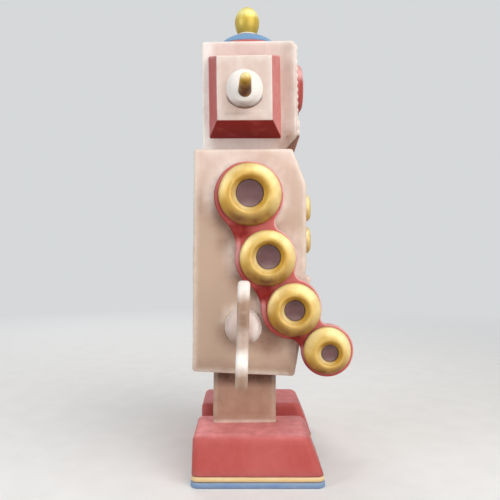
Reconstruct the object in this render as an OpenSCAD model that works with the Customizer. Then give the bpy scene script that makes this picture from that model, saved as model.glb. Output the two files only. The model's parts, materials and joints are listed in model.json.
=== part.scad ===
// Tin wind-up robot: pressed tin casings over a clockwork motor, with swinging legs,
// posable arms, a turning head and a butterfly key on its right side.
// +X is the way the robot faces, +Y is its left, +Z is up, and the floor is Z = 0.

/* [Feet] */
// Height of the foot's top above the floor
foot_h = 24.3; // [22:0.1:28]
// Thickness of the rubber sole
sole_t = 2.8; // [2:0.1:4]
// Height of the trim band above the sole
trim_h = 2.6; // [2:0.1:4.4]
// Back end of the foot shell along the floor
heel_x = -28.6; // [-31:0.1:-25]
// Front end of the foot shell along the floor
toe_x = 36.3; // [32:0.1:42]
// How far the toe leans back on its way up
toe_lean = 7.3; // [2:0.1:10]
// Inner side of the foot, from the middle plane
foot_in = 10.2; // [8:0.1:11]
// Outer side of the foot, from the middle plane
foot_out = 51.5; // [46:0.5:56]
// How far the foot's sides lean in on their way up
foot_lean = 2.1; // [0.5:0.1:3]
// Roundness of the foot's upright corners
foot_corner_r = 4.5; // [3:0.5:9]
// How far the trim and sole stand out around the foot
sole_lip = 0.5; // [0.2:0.1:1]

/* [Legs] */
// Length of leg that shows between foot and body
leg_show = 30.7; // [27:0.05:36]
// Front to back size of the leg
leg_d = 32.6; // [28:0.1:34]
// Middle of the leg, front to back
leg_x = -2.6; // [-4:0.1:0]
// Side to side size of the leg
leg_w = 14.4; // [12:0.1:18]
// Wall of the leg tube
leg_wall = 1; // [0.6:0.1:1.4]
// How far the hip axle is above the body's underside
hip_rise = 6; // [5:0.1:6.5]
// How far the leg runs up past the hip axle
leg_above_hip = 9; // [6:0.5:10]

/* [Body] */
// Front to back size of the body
body_d = 56; // [55:0.5:62]
// Width of the body, side to side
body_w = 84; // [78:0.5:92]
// Height of the body
body_h = 110.75; // [105:0.25:126]
// Height of the sloped shoulder at the top front
shoulder_slope_h = 16.5; // [10:0.5:22]
// How far the sloped shoulder leans back
shoulder_slope_d = 6.75; // [3:0.25:9]
// Height of the belly's ledge above the body's underside
belly_rise = 46.5; // [43.5:0.25:54]
// How far the belly's ledge stands out from the chest
belly_out = 2.8; // [2:0.1:5]
// How far the body's bottom front edge is behind the chest
belly_in = 5.75; // [4:0.05:6.5]
// How much lower the body's underside is at the front than at the back
belly_sag = 2.5; // [0:0.1:3.5]
// Roundness of the casing's edges
edge_r = 2; // [1:0.1:3]
// Thickness of the tin
tin = 0.8; // [0.5:0.05:1]

/* [Chest] */
// Diameter of a dial over its bezel
dial_dia = 14.2; // [11:0.1:16]
// Diameter of a dial's face
dial_open_dia = 6.6; // [5:0.1:8]
// Distance of the dials from the middle plane
dial_y = 19; // [10:0.5:26]
// How far the upper dials are below the chest panel's top
dial_drop = 11.5; // [9:0.1:14]
// Distance between the upper and lower dials
dial_pitch = 17.2; // [16.4:0.1:20]

/* [Head] */
// Front to back size of the head
head_d = 49.2; // [46:0.2:54]
// Width of the head, side to side
head_w = 60; // [58:0.5:66]
// Height of the head
head_h = 57.6; // [55:0.1:66]
// Height of the chin's slope
chin_h = 8; // [5:0.5:10]
// How far the chin's slope leans back
chin_d = 7.4; // [4:0.1:10]
// Middle of the head's casing, front to back
head_x = -0.4; // [-1:0.1:1]
// Gap between the head and the body's top
neck_gap = 0.4; // [0.3:0.05:1]
// Outer radius of the neck tube
neck_r = 7; // [5:0.5:9]

/* [Ears] */
// Front to back size of the ear block where it meets the head
ear_d = 37.3; // [32:0.1:42]
// Height of the ear block where it meets the head
ear_h = 41.8; // [36:0.1:46]
// How far each side of the ear block leans in
ear_bevel = 5.1; // [3:0.1:7]
// How far the ear block stands out
ear_reach = 17.6; // [10:0.1:22]
// Middle of the ear block, front to back
ear_x = -2.7; // [-4:0.1:0]
// Middle of the ear block above the head's underside
ear_rise = 28.7; // [27:0.1:30]
// Radius of the ear's white dome
ear_dome_r = 8.9; // [7:0.1:11]
// Height of the ear's white dome
ear_dome_h = 5.5; // [4:0.1:7]
// Radius of the ear's gold rod at its root
ear_rod_r = 3.4; // [2.4:0.1:4]
// Radius of the ear's gold rod at its round tip
ear_tip_r = 2.75; // [1.8:0.05:3.4]
// Length of the ear's gold rod from the ear block
ear_rod_len = 20.4; // [16:0.1:28]

/* [Crown] */
// Radius of the crown dome where it meets the head
crown_r = 21.5; // [19:0.1:24.2]
// Height of the crown dome
crown_h = 13.5; // [12:0.1:18]
// Height of the crown's red band
crown_band_h = 5.1; // [3:0.1:8]
// Middle of the crown, front to back
crown_x = -1; // [-2:0.1:0]
// Largest radius of the finial
finial_r = 6.95; // [5.6:0.05:8]
// Height of the finial
finial_h = 14.8; // [11:0.1:18]

/* [Face] */
// Diameter of an eye over its rim
eye_dia = 25; // [20:0.2:26]
// Height that the eye's domed rim would have at its middle
eye_dome_h = 6; // [4.6:0.1:7]
// Diameter of the eye's opening
eye_open_dia = 14.4; // [12:0.2:16]
// Distance between the eyes' middles
eye_pitch = 28; // [26.4:0.2:30]
// Height of the eyes above the head's underside
eye_rise = 37.35; // [35.5:0.05:40]
// Distance between the face's border rivets, at most
rivet_pitch = 3.6; // [3:0.1:6]
// Radius of a border rivet's head
rivet_r = 1.2; // [0.8:0.05:1.4]
// Height of the mouth's grille
mouth_h = 8.6; // [7:0.1:10]
// How far the mouth's grille stands out from the face
mouth_t = 1.3; // [0.8:0.1:2]
// How far the jaw below the mouth leans back on its way down
jaw_lean = 3; // [1:0.1:5]

/* [Arms] */
// Radius of the first gold ring, at the shoulder
ring_1_r = 15.5; // [14:0.1:16]
// Radius of the second gold ring
ring_2_r = 13.6; // [12:0.1:14.5]
// Radius of the third gold ring
ring_3_r = 12.9; // [11:0.1:13.5]
// Radius of the fourth gold ring
ring_4_r = 11.8; // [10:0.1:12.5]
// Radius of the first ring's opening
ring_1_hole_r = 6.8; // [5:0.1:8]
// Radius of the second ring's opening
ring_2_hole_r = 6; // [4.5:0.1:7]
// Radius of the third ring's opening
ring_3_hole_r = 5.05; // [4:0.05:6]
// Radius of the fourth ring's opening
ring_4_hole_r = 4.3; // [3.2:0.05:5.5]
// How far the red arm plate stands out around the rings
arm_margin = 1.6; // [1:0.1:2]
// Thickness of the arm plate
arm_t = 4.5; // [3.5:0.1:5]
// Roundness of the hollows along the arm's front edge
arm_front_web_r = 6; // [4:0.5:30]
// Roundness of the hollows along the arm's back edge
arm_back_web_r = 24; // [4:0.5:30]
// How far the left arm hangs behind the right one
arm_left_back = 13; // [0:0.5:20]
// Gap between the arm plate and the body
arm_gap = 1.1; // [1:0.1:2]
// Height of the straight skirt of a gold ring
ring_skirt = 1.2; // [0.6:0.1:1.6]
// Radius of the shoulder pin
shoulder_pin_r = 3; // [2:0.1:4]
// How far the shoulder is below the body's top
shoulder_drop = 22.55; // [20:0.05:26]
// Middle of the shoulder, front to back
shoulder_x = 0.2; // [-2:0.05:2]

/* [Key] */
// Span of the key's two wings
key_span = 49.4; // [40:0.2:54]
// Thickness of the key's wings
key_t = 5.6; // [3:0.1:7]
// How far the key is turned from upright
key_turn = 1.5; // [-30:0.1:30]
// Radius of a wing's round end
key_lobe_r = 9.8; // [7:0.1:11]
// How far the key's outer edge is from the body
key_reach = 37.5; // [35:0.5:44]
// Radius of the key's barrel
key_barrel_r = 3.6; // [3:0.1:5]
// Radius of the boss around the key
key_boss_r = 9.3; // [6:0.1:10]
// Height of the boss around the key
key_boss_h = 5; // [3:0.1:5.4]
// Middle of the key, front to back
key_x = -3.3; // [-4:0.1:-2.5]
// How far the key is above the body's underside
key_rise = 22.2; // [21.8:0.05:24]

/* [Clockwork] */
// Distance between the insides of the motor plates
motor_gap = 18; // [17.6:0.1:19]
// Thickness of a motor plate
motor_plate_t = 1; // [0.8:0.1:1.2]
// Size of the great wheel's and drive wheel's teeth
train_module = 0.6; // [0.56:0.01:0.62]
// Size of the governor gears' teeth
governor_module = 0.5; // [0.45:0.01:0.52]
// Teeth of the great wheel
great_teeth = 44; // [40:1:46]
// Teeth of the crank pinion and of the third pinion
pinion_teeth = 10; // [9:1:11]
// Teeth of the drive wheel
drive_teeth = 36; // [32:1:38]
// Teeth of the third wheel
third_teeth = 32; // [28:1:34]
// Teeth of the governor pinion
governor_teeth = 9; // [9:1:10]
// Turns of the mainspring
spring_turns = 9; // [6:1:10]
// Radius of the winding arbor
arbor_r = 2; // [1.6:0.1:2.2]
// Radius of the crank's throw
crank_throw = 3.5; // [2.5:0.1:4]

/* [Hidden] */
$fn = 64;

// Paint and metal colours
cream = [0.86, 0.74, 0.68];
red = [0.66, 0.2, 0.2];
gold = [0.83, 0.62, 0.18];
blue = [0.35, 0.55, 0.8];
mauve = [0.42, 0.3, 0.33];
brown = [0.4, 0.26, 0.2];
white = [0.93, 0.9, 0.87];
buff = [0.9, 0.74, 0.5];
brass = [0.78, 0.62, 0.3];
steel = [0.62, 0.63, 0.65];

// Fits: a turning fit, a loose seat, the room between turning layers, and the overrun of a cut
run_fit = 0.06;
seat_fit = 0.1;
layer_gap = 0.3;
cut = 0.01;

// Heights and half sizes of the casings
body_z0 = foot_h + leg_show;
body_z1 = body_z0 + body_h;
head_z0 = body_z1 + neck_gap;
head_z1 = head_z0 + head_h;
body_half_w = body_w / 2;
body_front = body_d / 2;
body_back = -body_d / 2;
head_half_w = head_w / 2;
head_front = head_x + head_d / 2;
head_back = head_x - head_d / 2;

// Side outlines, in X and Z, of the body and the head
ledge_slope = 0.55;
ledge_z = body_z0 + belly_rise;
ledge_r = min(edge_r, belly_out / 2);
body_side = [
    [body_back, body_z0],
    [body_front - belly_in, body_z0 - belly_sag],
    [body_front + belly_out, ledge_z],
    [body_front, ledge_z + belly_out * ledge_slope],
    [body_front, body_z1 - shoulder_slope_h],
    [body_front - shoulder_slope_d, body_z1],
    [body_back, body_z1]
];
body_side_r = [edge_r, edge_r, ledge_r, ledge_r, edge_r, edge_r, edge_r];
head_side = [
    [head_back, head_z0],
    [head_front - chin_d, head_z0],
    [head_front, head_z0 + chin_h],
    [head_front, head_z1],
    [head_back, head_z1]
];
head_side_r = [edge_r, edge_r, edge_r, edge_r, edge_r];

function polar(r, a) = r * [cos(a), sin(a)];
function unit(v) = v / norm(v);
function left_of(v) = [-v[1], v[0]];
function lows(p) = [min([for (q = p) q[0]]), min([for (q = p) q[1]])];
function highs(p) = [max([for (q = p) q[0]]), max([for (q = p) q[1]])];
function box_outline(x0, y0, x1, y1) = [[x0, y0], [x1, y0], [x1, y1], [x0, y1]];

// An outline, run anticlockwise, drawn in by d
function inset(p, d) = [
    for (i = [0 : len(p) - 1])
        let (
            n = len(p),
            nu = left_of(unit(p[i] - p[(i + n - 1) % n])),
            nv = left_of(unit(p[(i + 1) % n] - p[i]))
        )
        p[i] + d * (nu + nv) / (1 + nu * nv)
];

// An outline with each corner rounded by its own radius
corner_steps = 5;
function rounded(p, radii) = [
    for (i = [0 : len(p) - 1])
        let (
            n = len(p),
            r = is_list(radii) ? radii[i] : radii,
            a = unit(p[(i + n - 1) % n] - p[i]),
            b = unit(p[(i + 1) % n] - p[i]),
            half = acos(a * b) / 2,
            c = p[i] + unit(a + b) * r / sin(half),
            from = a * r / tan(half) + p[i] - c,
            to = b * r / tan(half) + p[i] - c,
            a0 = atan2(from[1], from[0]),
            sweep = (atan2(to[1], to[0]) - a0 + 540) % 360 - 180
        )
        for (k = [0 : corner_steps])
            c + polar(r, a0 + sweep * k / corner_steps)
];

// Frames: on the right side, on the front, and lying across the robot along Y
module on_right(y, at = [0, 0]) translate([at[0], -y, at[1]]) rotate([90, 0, 0]) children();
module on_front(x) translate([x, 0, 0]) rotate([90, 0, 90]) children();
module across(at, y0, y1)
    translate([at[0], y1, at[1]]) rotate([90, 0, 0]) linear_extrude(y1 - y0) children();
module rod(at, y0, y1, r)
    translate([at[0], y1, at[1]]) rotate([90, 0, 0]) cylinder(r = r, h = y1 - y0);
module left_copy() mirror([0, 1, 0]) children();
module both_sides() {
    children();
    left_copy() children();
}

// A box with a shaped side outline, rounded along its edges
module casing(side, radii, half_w, r) {
    lo = lows(side);
    hi = highs(side);
    intersection() {
        across([0, 0], -half_w, half_w) polygon(rounded(side, radii));
        on_front(lo[0]) linear_extrude(hi[0] - lo[0])
            polygon(rounded(box_outline(-half_w, lo[1], half_w, hi[1]), r));
        translate([0, 0, lo[1]]) linear_extrude(hi[1] - lo[1])
            polygon(rounded(box_outline(lo[0], -half_w, hi[0], half_w), r));
    }
}

// A pressed ring: half a tube on a straight skirt, open at the back
module pressed_ring(outer, hole, skirt, wall) {
    tube = (outer - hole) / 2;
    middle = (outer + hole) / 2;
    rotate_extrude() difference() {
        ring_section(middle, tube, skirt);
        translate([0, -cut]) ring_section(middle, tube - wall, skirt + cut);
    }
}
module ring_section(middle, tube, skirt) {
    translate([middle - tube, 0]) square([2 * tube, skirt]);
    intersection() {
        translate([middle, skirt]) circle(tube);
        translate([middle - tube, skirt]) square(2 * tube);
    }
}

// Caps of a ball: base_r wide at z = 0 and h high, as a thin zone or solid
function cap_ball_r(base_r, h) = (base_r * base_r + h * h) / (2 * h);
module cap_zone(ball, top, wall, z0, z1, hole) {
    rotate_extrude() intersection() {
        translate([0, top - ball]) difference() {
            circle(ball);
            circle(ball - wall);
        }
        translate([hole, z0]) square([2 * ball, z1 - z0]);
    }
}
module solid_cap(base_r, h, hole = 0) {
    ball = cap_ball_r(base_r, h);
    rotate_extrude() intersection() {
        translate([0, h - ball]) circle(ball);
        translate([hole, 0]) square([base_r - hole, h]);
    }
}

// Slotted screw; its head stands up from z = 0
screw_r = 1;
screw_head_r = 2;
screw_head_h = 1.1;
screw_slot = 0.5;
screw_len = 3;
module screw() {
    difference() {
        solid_cap(screw_head_r, screw_head_h);
        translate([-screw_head_r, -screw_slot / 2, screw_head_h - screw_slot])
            cube([2 * screw_head_r, screw_slot, screw_head_h]);
    }
    translate([0, 0, -screw_len]) cylinder(r = screw_r, h = screw_len);
}

// Clockwork layers across the robot: right plate, great wheel, ratchet, spring, drive wheel,
// third wheel, left plate
wheel_t = 1.4;
ratchet_t = 1.4;
plate_in = motor_gap / 2;
plate_out = plate_in + motor_plate_t;
pinion_over = 0.3;
great_y1 = -plate_in + 2 * pinion_over + wheel_t;
ratchet_y0 = great_y1 + layer_gap;
ratchet_y1 = ratchet_y0 + ratchet_t;
third_y0 = plate_in - 2 * pinion_over - wheel_t;
drive_y0 = third_y0 - 2 * pinion_over - wheel_t;
spring_y0 = ratchet_y1 + layer_gap;
spring_y1 = drive_y0 - layer_gap;

// Clockwork arbors, in X and Z
tooth_rise = 0.8;
tooth_drop = 1.1;
pin_r = 1;
pillar_r = 1.5;
hip_r = 1.5;
crank_dir = 18.5;
third_dir = 130;
governor_dir = 145;
spring_post_dir = 205;
arbor_at = [key_x, body_z0 + key_rise];
crank_at = arbor_at + polar(train_module * (great_teeth + pinion_teeth) / 2, crank_dir);
third_at = crank_at + polar(train_module * (drive_teeth + pinion_teeth) / 2, third_dir);
governor_at = third_at + polar(governor_module * (third_teeth + governor_teeth) / 2, governor_dir);
great_tip_r = train_module * (great_teeth / 2 + tooth_rise);
drive_tip_r = train_module * (drive_teeth / 2 + tooth_rise);
spring_post_off = great_tip_r + pillar_r + 2 * layer_gap;
spring_post_at = arbor_at + polar(spring_post_off, spring_post_dir);
hip_at = [leg_x, body_z0 + hip_rise];

// Motor plates reach round every arbor and pillar
base_t = 1;
base_z = body_z0 + base_t;
plate_margin = 3.5;
plate_back = arbor_at[0] - great_tip_r - 2 * plate_margin;
plate_front = crank_at[0] + drive_tip_r - plate_margin;
plate_top = governor_at[1] + 4 * plate_margin;
plate_corner_r = 3;
pillar_at = [
    spring_post_at,
    [plate_back + plate_margin, plate_top - plate_margin],
    [plate_front - plate_margin, plate_top - plate_margin],
    [plate_front - plate_margin, base_z + 2 * plate_margin]
];

// Legs stand just outside the motor plates, with the cranks between
crank_t = 0.8;
leg_gap = 2 * layer_gap + crank_t + 0.6;
leg_in = plate_out + leg_gap;
leg_out = leg_in + leg_w;
crank_y = plate_out + layer_gap;

// Body casing: one pressing for front, sides and top, with lips for the cover and the base
lip = 5;
screw_inset = 12;
half_in = body_half_w - tin;
lip_y = half_in - lip / 2;
shoulder_at = [shoulder_x, body_z1 - shoulder_drop];
cover_screw_at = [
    for (y = [-lip_y, lip_y])
        for (z = [body_z0 + screw_inset, body_z1 - screw_inset])
            [y, z]
];
base_screw_at = [
    for (y = [-lip_y, lip_y])
        for (x = [body_back + screw_inset, body_front - belly_in - screw_inset])
            [x, y]
];
module body_shell() color(cream) {
    difference() {
        casing(body_side, body_side_r, body_half_w, edge_r);
        casing(inset(body_side, tin), [for (r = body_side_r) max(r - tin / 2, tin / 2)], half_in,
            edge_r - tin / 2);
        translate([body_back - cut, -half_in, body_z0 - belly_sag - cut])
            cube([body_d / 2, 2 * half_in, body_h + belly_sag - tin]);
        translate([-cut, -half_in, body_z0 - belly_sag - cut])
            cube([body_front - belly_in - tin, 2 * half_in, belly_sag + 2 * edge_r]);
        both_sides() on_right(half_in - cut, shoulder_at) cylinder(r = bush_r, h = 2 * tin);
        on_right(half_in - cut, arbor_at) cylinder(r = arbor_r + run_fit, h = 2 * tin);
        translate([0, 0, body_z1 - 2 * tin]) cylinder(r = neck_r + seat_fit, h = 3 * tin);
    }
    both_sides() {
        difference() {
            translate([body_back + tin, -half_in - cut, base_z + tin])
                cube([tin, lip + cut, body_h - base_t - 2 * tin + cut]);
            for (s = cover_screw_at)
                translate([body_back, s[0], s[1]]) rotate([0, 90, 0]) cylinder(r = screw_r, h = 3 * tin);
        }
        difference() {
            translate([body_back + tin, -half_in - cut, base_z])
                cube([body_d - belly_in - 2 * tin - edge_r, lip + cut, tin]);
            for (s = base_screw_at)
                translate([s[0], s[1], body_z0]) cylinder(r = screw_r, h = base_t + 2 * tin);
        }
    }
}

// Rear cover with a raised field
field_inset = 12;
field_r = 4;
module rear_cover() color(cream) {
    half = half_in - seat_fit;
    z0 = base_z + seat_fit;
    z1 = body_z1 - tin - seat_fit;
    field = box_outline(-half + field_inset, z0 + field_inset, half - field_inset, z1 - field_inset);
    difference() {
        union() {
            on_front(body_back) linear_extrude(tin) polygon(box_outline(-half, z0, half, z1));
            on_front(body_back - tin) linear_extrude(tin + cut) polygon(rounded(field, field_r));
        }
        on_front(body_back - cut) linear_extrude(tin) polygon(rounded(inset(field, tin), field_r - tin));
        for (s = cover_screw_at)
            translate([body_back - cut, s[0], s[1]]) rotate([0, 90, 0]) cylinder(r = screw_r, h = 2 * tin);
    }
}

// Base plate with a slot for each leg, and screws for the casing and the motor
leg_slot_gap = 1.6;
motor_foot_w = 4;
motor_foot_d = 6;
motor_screw_y = plate_in - motor_foot_w / 2;
motor_screw_x = [plate_back + 2 * plate_margin, plate_front - 3 * plate_margin];
motor_screw_at = [for (y = [-motor_screw_y, motor_screw_y]) for (x = motor_screw_x) [x, y]];
module base_plate() color(cream) {
    half = half_in - seat_fit;
    front = body_front - belly_in - tin - seat_fit;
    difference() {
        translate([body_back, -half, body_z0]) cube([front - body_back, 2 * half, base_t]);
        both_sides()
            translate([leg_x - leg_d / 2 - leg_slot_gap, -leg_out - leg_slot_gap, body_z0 - cut])
                cube([leg_d + 2 * leg_slot_gap, leg_w + leg_slot_gap + layer_gap, 2 * base_t]);
        for (s = concat(base_screw_at, motor_screw_at))
            translate([s[0], s[1], body_z0 - cut]) cylinder(r = screw_r, h = 2 * base_t);
    }
}
module casing_screws() color(steel) {
    for (s = cover_screw_at)
        translate([body_back, s[0], s[1]]) rotate([0, -90, 0]) screw();
    for (s = concat(base_screw_at, motor_screw_at))
        translate([s[0], s[1], body_z0]) rotate([180, 0, 0]) screw();
}

// Chest panel and its four dials
chest_margin = 6;
chest_r = 3;
chest_half_w = body_half_w - chest_margin;
chest_z0 = ledge_z + belly_out + 1;
chest_z1 = body_z1 - shoulder_slope_h;
dial_skirt = 2;
module chest_panel() color(cream)
    on_front(body_front) linear_extrude(tin)
        polygon(rounded(box_outline(-chest_half_w, chest_z0, chest_half_w, chest_z1), chest_r));
module at_dials()
    for (row = [0, 1])
        for (y = [-dial_y, dial_y])
            on_front(body_front + tin)
                translate([y, chest_z1 - dial_drop - row * dial_pitch, 0]) children();
module dial_bezels() color(gold)
    at_dials() pressed_ring(dial_dia / 2, dial_open_dia / 2, dial_skirt, ring_tin);
module dial_faces() color(mauve)
    at_dials() cylinder(r = dial_open_dia / 2 - run_fit, h = dial_skirt);

module key_boss() color(cream)
    on_right(body_half_w, arbor_at) solid_cap(key_boss_r, key_boss_h, arbor_r + run_fit);

// Neck: a flanged tube on the body, which the head's floor turns on, and a clip above the floor
neck_flange = 3;
neck_flange_t = 1;
neck_wall = 2;
neck_float = 0.05;
clip_t = 1;
clip_over = 1;
floor_t = 1.2;
clip_z = head_z0 + floor_t + neck_float;
module neck_tube() color(steel) {
    low = body_z1 - tin - neck_flange_t;
    difference() {
        union() {
            translate([0, 0, low]) cylinder(r = neck_r + neck_flange, h = neck_flange_t);
            translate([0, 0, low]) cylinder(r = neck_r, h = clip_z + clip_t + clip_over - low);
            translate([0, 0, body_z1]) cylinder(r = neck_r + neck_flange, h = neck_gap - neck_float);
        }
        translate([0, 0, low - cut])
            cylinder(r = neck_r - neck_wall, h = clip_z + clip_t + clip_over - low + 2 * cut);
    }
}
module neck_clip() color(steel)
    translate([0, 0, clip_z]) difference() {
        cylinder(r = neck_r + neck_flange, h = clip_t);
        translate([0, 0, -cut]) cylinder(r = neck_r, h = clip_t + 2 * cut);
    }

// Shoulders: a bush in each side of the body, and a pin that turns in it with the arm
bush_wall = 1.4;
bush_flange = 1.2;
bush_flange_t = 1;
bush_r = shoulder_pin_r + bush_wall;
arm_y = body_half_w + arm_gap;
pin_head_t = 1.2;
pin_spigot_r = shoulder_pin_r - 1;
module shoulder_bush()
    on_right(half_in - bush_flange_t, shoulder_at) difference() {
        union() {
            cylinder(r = bush_r + bush_flange, h = bush_flange_t);
            cylinder(r = bush_r, h = bush_flange_t + tin + arm_gap - layer_gap);
        }
        translate([0, 0, -cut]) cylinder(r = shoulder_pin_r + run_fit, h = bush_flange_t + tin + arm_gap);
    }
module shoulder_bushes() color(brass) both_sides() shoulder_bush();
module shoulder_pin() {
    head_y = half_in - bush_flange_t - layer_gap;
    web_y = arm_y + arm_t - tin;
    on_right(head_y - pin_head_t, shoulder_at) {
        cylinder(r = bush_r, h = pin_head_t);
        cylinder(r = shoulder_pin_r, h = web_y - head_y + pin_head_t);
        cylinder(r = pin_spigot_r, h = web_y - head_y + pin_head_t + tin);
    }
    on_right(web_y - pin_head_t, shoulder_at) cylinder(r = bush_r + bush_flange, h = pin_head_t);
}
module shoulder_pin_right() color(steel) shoulder_pin();
module shoulder_pin_left() color(steel) left_copy() shoulder_pin();

// Arms: a pressed tray with four round seats joined by filleted webs, a ring and a disc on each
ring_r = [ring_1_r, ring_2_r, ring_3_r, ring_4_r];
ring_hole_r = [ring_1_hole_r, ring_2_hole_r, ring_3_hole_r, ring_4_hole_r];
ring_gap = [2.7, 2.7, 1.9];
ring_dir = [-74.2, -64.4, -50.2];
ring_tin = 0.7;
function ring_at(i) =
    i == 0 ? [0, 0]
    : ring_at(i - 1) + polar(ring_r[i - 1] + ring_r[i] + ring_gap[i - 1], ring_dir[i - 1]);
module arm_outline(d) {
    for (i = [0 : 3])
        translate(ring_at(i)) circle(ring_r[i] + arm_margin - d);
    for (i = [0 : 2])
        arm_web(ring_at(i), ring_r[i] + arm_margin, ring_at(i + 1), ring_r[i + 1] + arm_margin, d);
}
function web_middle(c1, r1, c2, r2, web_r, side) =
    let (
        u = unit(c2 - c1),
        gap = norm(c2 - c1),
        along = (gap * gap + pow(r1 + web_r, 2) - pow(r2 + web_r, 2)) / (2 * gap)
    )
    c1 + u * along + side * left_of(u) * sqrt(pow(r1 + web_r, 2) - along * along);
module arm_web(c1, r1, c2, r2, d) {
    front = web_middle(c1, r1, c2, r2, arm_front_web_r, 1);
    back = web_middle(c1, r1, c2, r2, arm_back_web_r, -1);
    difference() {
        polygon([c1, back, c2, front]);
        translate(front) circle(arm_front_web_r + d);
        translate(back) circle(arm_back_web_r + d, $fn = fine_fn);
    }
}
module arm_tray() on_right(arm_y, shoulder_at) difference() {
    linear_extrude(arm_t) arm_outline(0);
    translate([0, 0, -cut]) linear_extrude(arm_t - tin + cut) arm_outline(tin);
    cylinder(r = pin_spigot_r, h = 2 * arm_t);
}
module arm_rings() on_right(arm_y + arm_t, shoulder_at)
    for (i = [0 : 3])
        translate(ring_at(i)) pressed_ring(ring_r[i], ring_hole_r[i], ring_skirt, ring_tin);
module arm_discs() on_right(arm_y + arm_t, shoulder_at)
    for (i = [0 : 3])
        translate(ring_at(i)) cylinder(r = ring_hole_r[i] - run_fit, h = ring_skirt);
module hung_back()
    translate([shoulder_at[0], 0, shoulder_at[1]]) rotate([0, arm_left_back, 0])
        translate([-shoulder_at[0], 0, -shoulder_at[1]]) children();
module arm_right() color(red) arm_tray();
module arm_left() color(red) left_copy() hung_back() arm_tray();
module arm_rings_right() color(gold) arm_rings();
module arm_rings_left() color(gold) left_copy() hung_back() arm_rings();
module arm_discs_right() color(mauve) arm_discs();
module arm_discs_left() color(mauve) left_copy() hung_back() arm_discs();

// Legs: a tube with a slotted lever on its inner wall, which the crank's pin drives
lever_half_w = 4.2;
slot_half_w = 1.4;
leg_corner_r = 1.8;
lever_dir = atan2(crank_at[1] - hip_at[1], crank_at[0] - hip_at[0]);
lever_len = norm(crank_at - hip_at);
module leg_lever() translate(hip_at) rotate(lever_dir) difference() {
    union() {
        translate([0, -lever_half_w]) square([lever_len + crank_throw, 2 * lever_half_w]);
        translate([lever_len + crank_throw, 0]) circle(lever_half_w);
    }
    translate([lever_len - crank_throw, -slot_half_w]) square([2 * crank_throw, 2 * slot_half_w]);
    for (s = [-crank_throw, crank_throw])
        translate([lever_len + s, 0]) circle(slot_half_w);
}
module leg() {
    outline = box_outline(leg_x - leg_d / 2, -leg_out, leg_x + leg_d / 2, -leg_in);
    tube_h = leg_show + hip_rise + leg_above_hip;
    difference() {
        union() {
            difference() {
                translate([0, 0, foot_h]) linear_extrude(tube_h) polygon(rounded(outline, leg_corner_r));
                translate([0, 0, foot_h + leg_wall]) linear_extrude(tube_h)
                    polygon(rounded(inset(outline, leg_wall), leg_corner_r - leg_wall / 2));
            }
            across([0, 0], -leg_in - leg_wall, -leg_in) leg_lever();
        }
        rod(hip_at, -leg_out - cut, -leg_in + cut, hip_r + run_fit);
    }
}
module leg_right() color(cream) leg();
module leg_left() color(cream) left_copy() leg();

// Feet: a pressed shell with leaning sides on a trim band and a sole
foot_z0 = sole_t + trim_h;
heel_lean = 1;
foot_wall = 1;
foot_top_r = 2.4;
trim_frame = 4;
foot_side = [
    [heel_x, foot_z0],
    [toe_x, foot_z0],
    [toe_x - toe_lean, foot_h],
    [heel_x + heel_lean, foot_h]
];
foot_across = [
    [foot_in, foot_z0],
    [foot_out, foot_z0],
    [foot_out - foot_lean, foot_h],
    [foot_in + foot_lean / 2, foot_h]
];
module foot_form(side, front, top_r, corner_r) {
    lo = lows(side);
    hi = highs(side);
    intersection() {
        across([0, 0], front[0][0], front[1][0]) polygon(rounded(side, [cut, cut, top_r, top_r]));
        on_front(lo[0]) linear_extrude(hi[0] - lo[0])
            polygon(rounded(front, [cut, cut, top_r, top_r]));
        translate([0, 0, lo[1]]) linear_extrude(hi[1] - lo[1])
            polygon(rounded(box_outline(lo[0], front[0][0], hi[0], front[1][0]), corner_r));
    }
}
function foot_inside(p) = [
    for (q = inset(p, foot_wall))
        [q[0], q[1] < foot_h / 2 ? foot_z0 - foot_wall : q[1]]
];
module foot_shell() left_copy() difference() {
    foot_form(foot_side, foot_across, foot_top_r, foot_corner_r);
    foot_form(foot_inside(foot_side), foot_inside(foot_across), foot_top_r - foot_wall / 2,
        foot_corner_r - foot_wall);
}
module foot_plan(d)
    polygon(rounded(box_outline(heel_x - d, -foot_out - d, toe_x + d, -foot_in + d), foot_corner_r + d));
module foot_trim() translate([0, 0, sole_t]) difference() {
    linear_extrude(trim_h) foot_plan(sole_lip / 2);
    translate([0, 0, -cut]) linear_extrude(trim_h + 2 * cut) foot_plan(-trim_frame);
}
module foot_sole() linear_extrude(sole_t) foot_plan(sole_lip);
module foot_shell_right() color(red) foot_shell();
module foot_shell_left() color(red) left_copy() foot_shell();
module foot_trim_right() color(buff) foot_trim();
module foot_trim_left() color(buff) left_copy() foot_trim();
module foot_sole_right() color(blue) foot_sole();
module foot_sole_left() color(blue) left_copy() foot_sole();

// Hip axle, with a spacer inside each leg and a head outside it
axle_head = 1.1;
axle_head_t = 1;
axle_end = leg_out + layer_gap;
module hip_axle() color(steel) {
    rod(hip_at, -axle_end - axle_head_t, axle_end + axle_head_t, hip_r);
    both_sides() {
        rod(hip_at, -axle_end - axle_head_t, -axle_end, hip_r + axle_head);
        rod(hip_at, -leg_in + layer_gap, -plate_out, hip_r + axle_head);
    }
}

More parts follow.
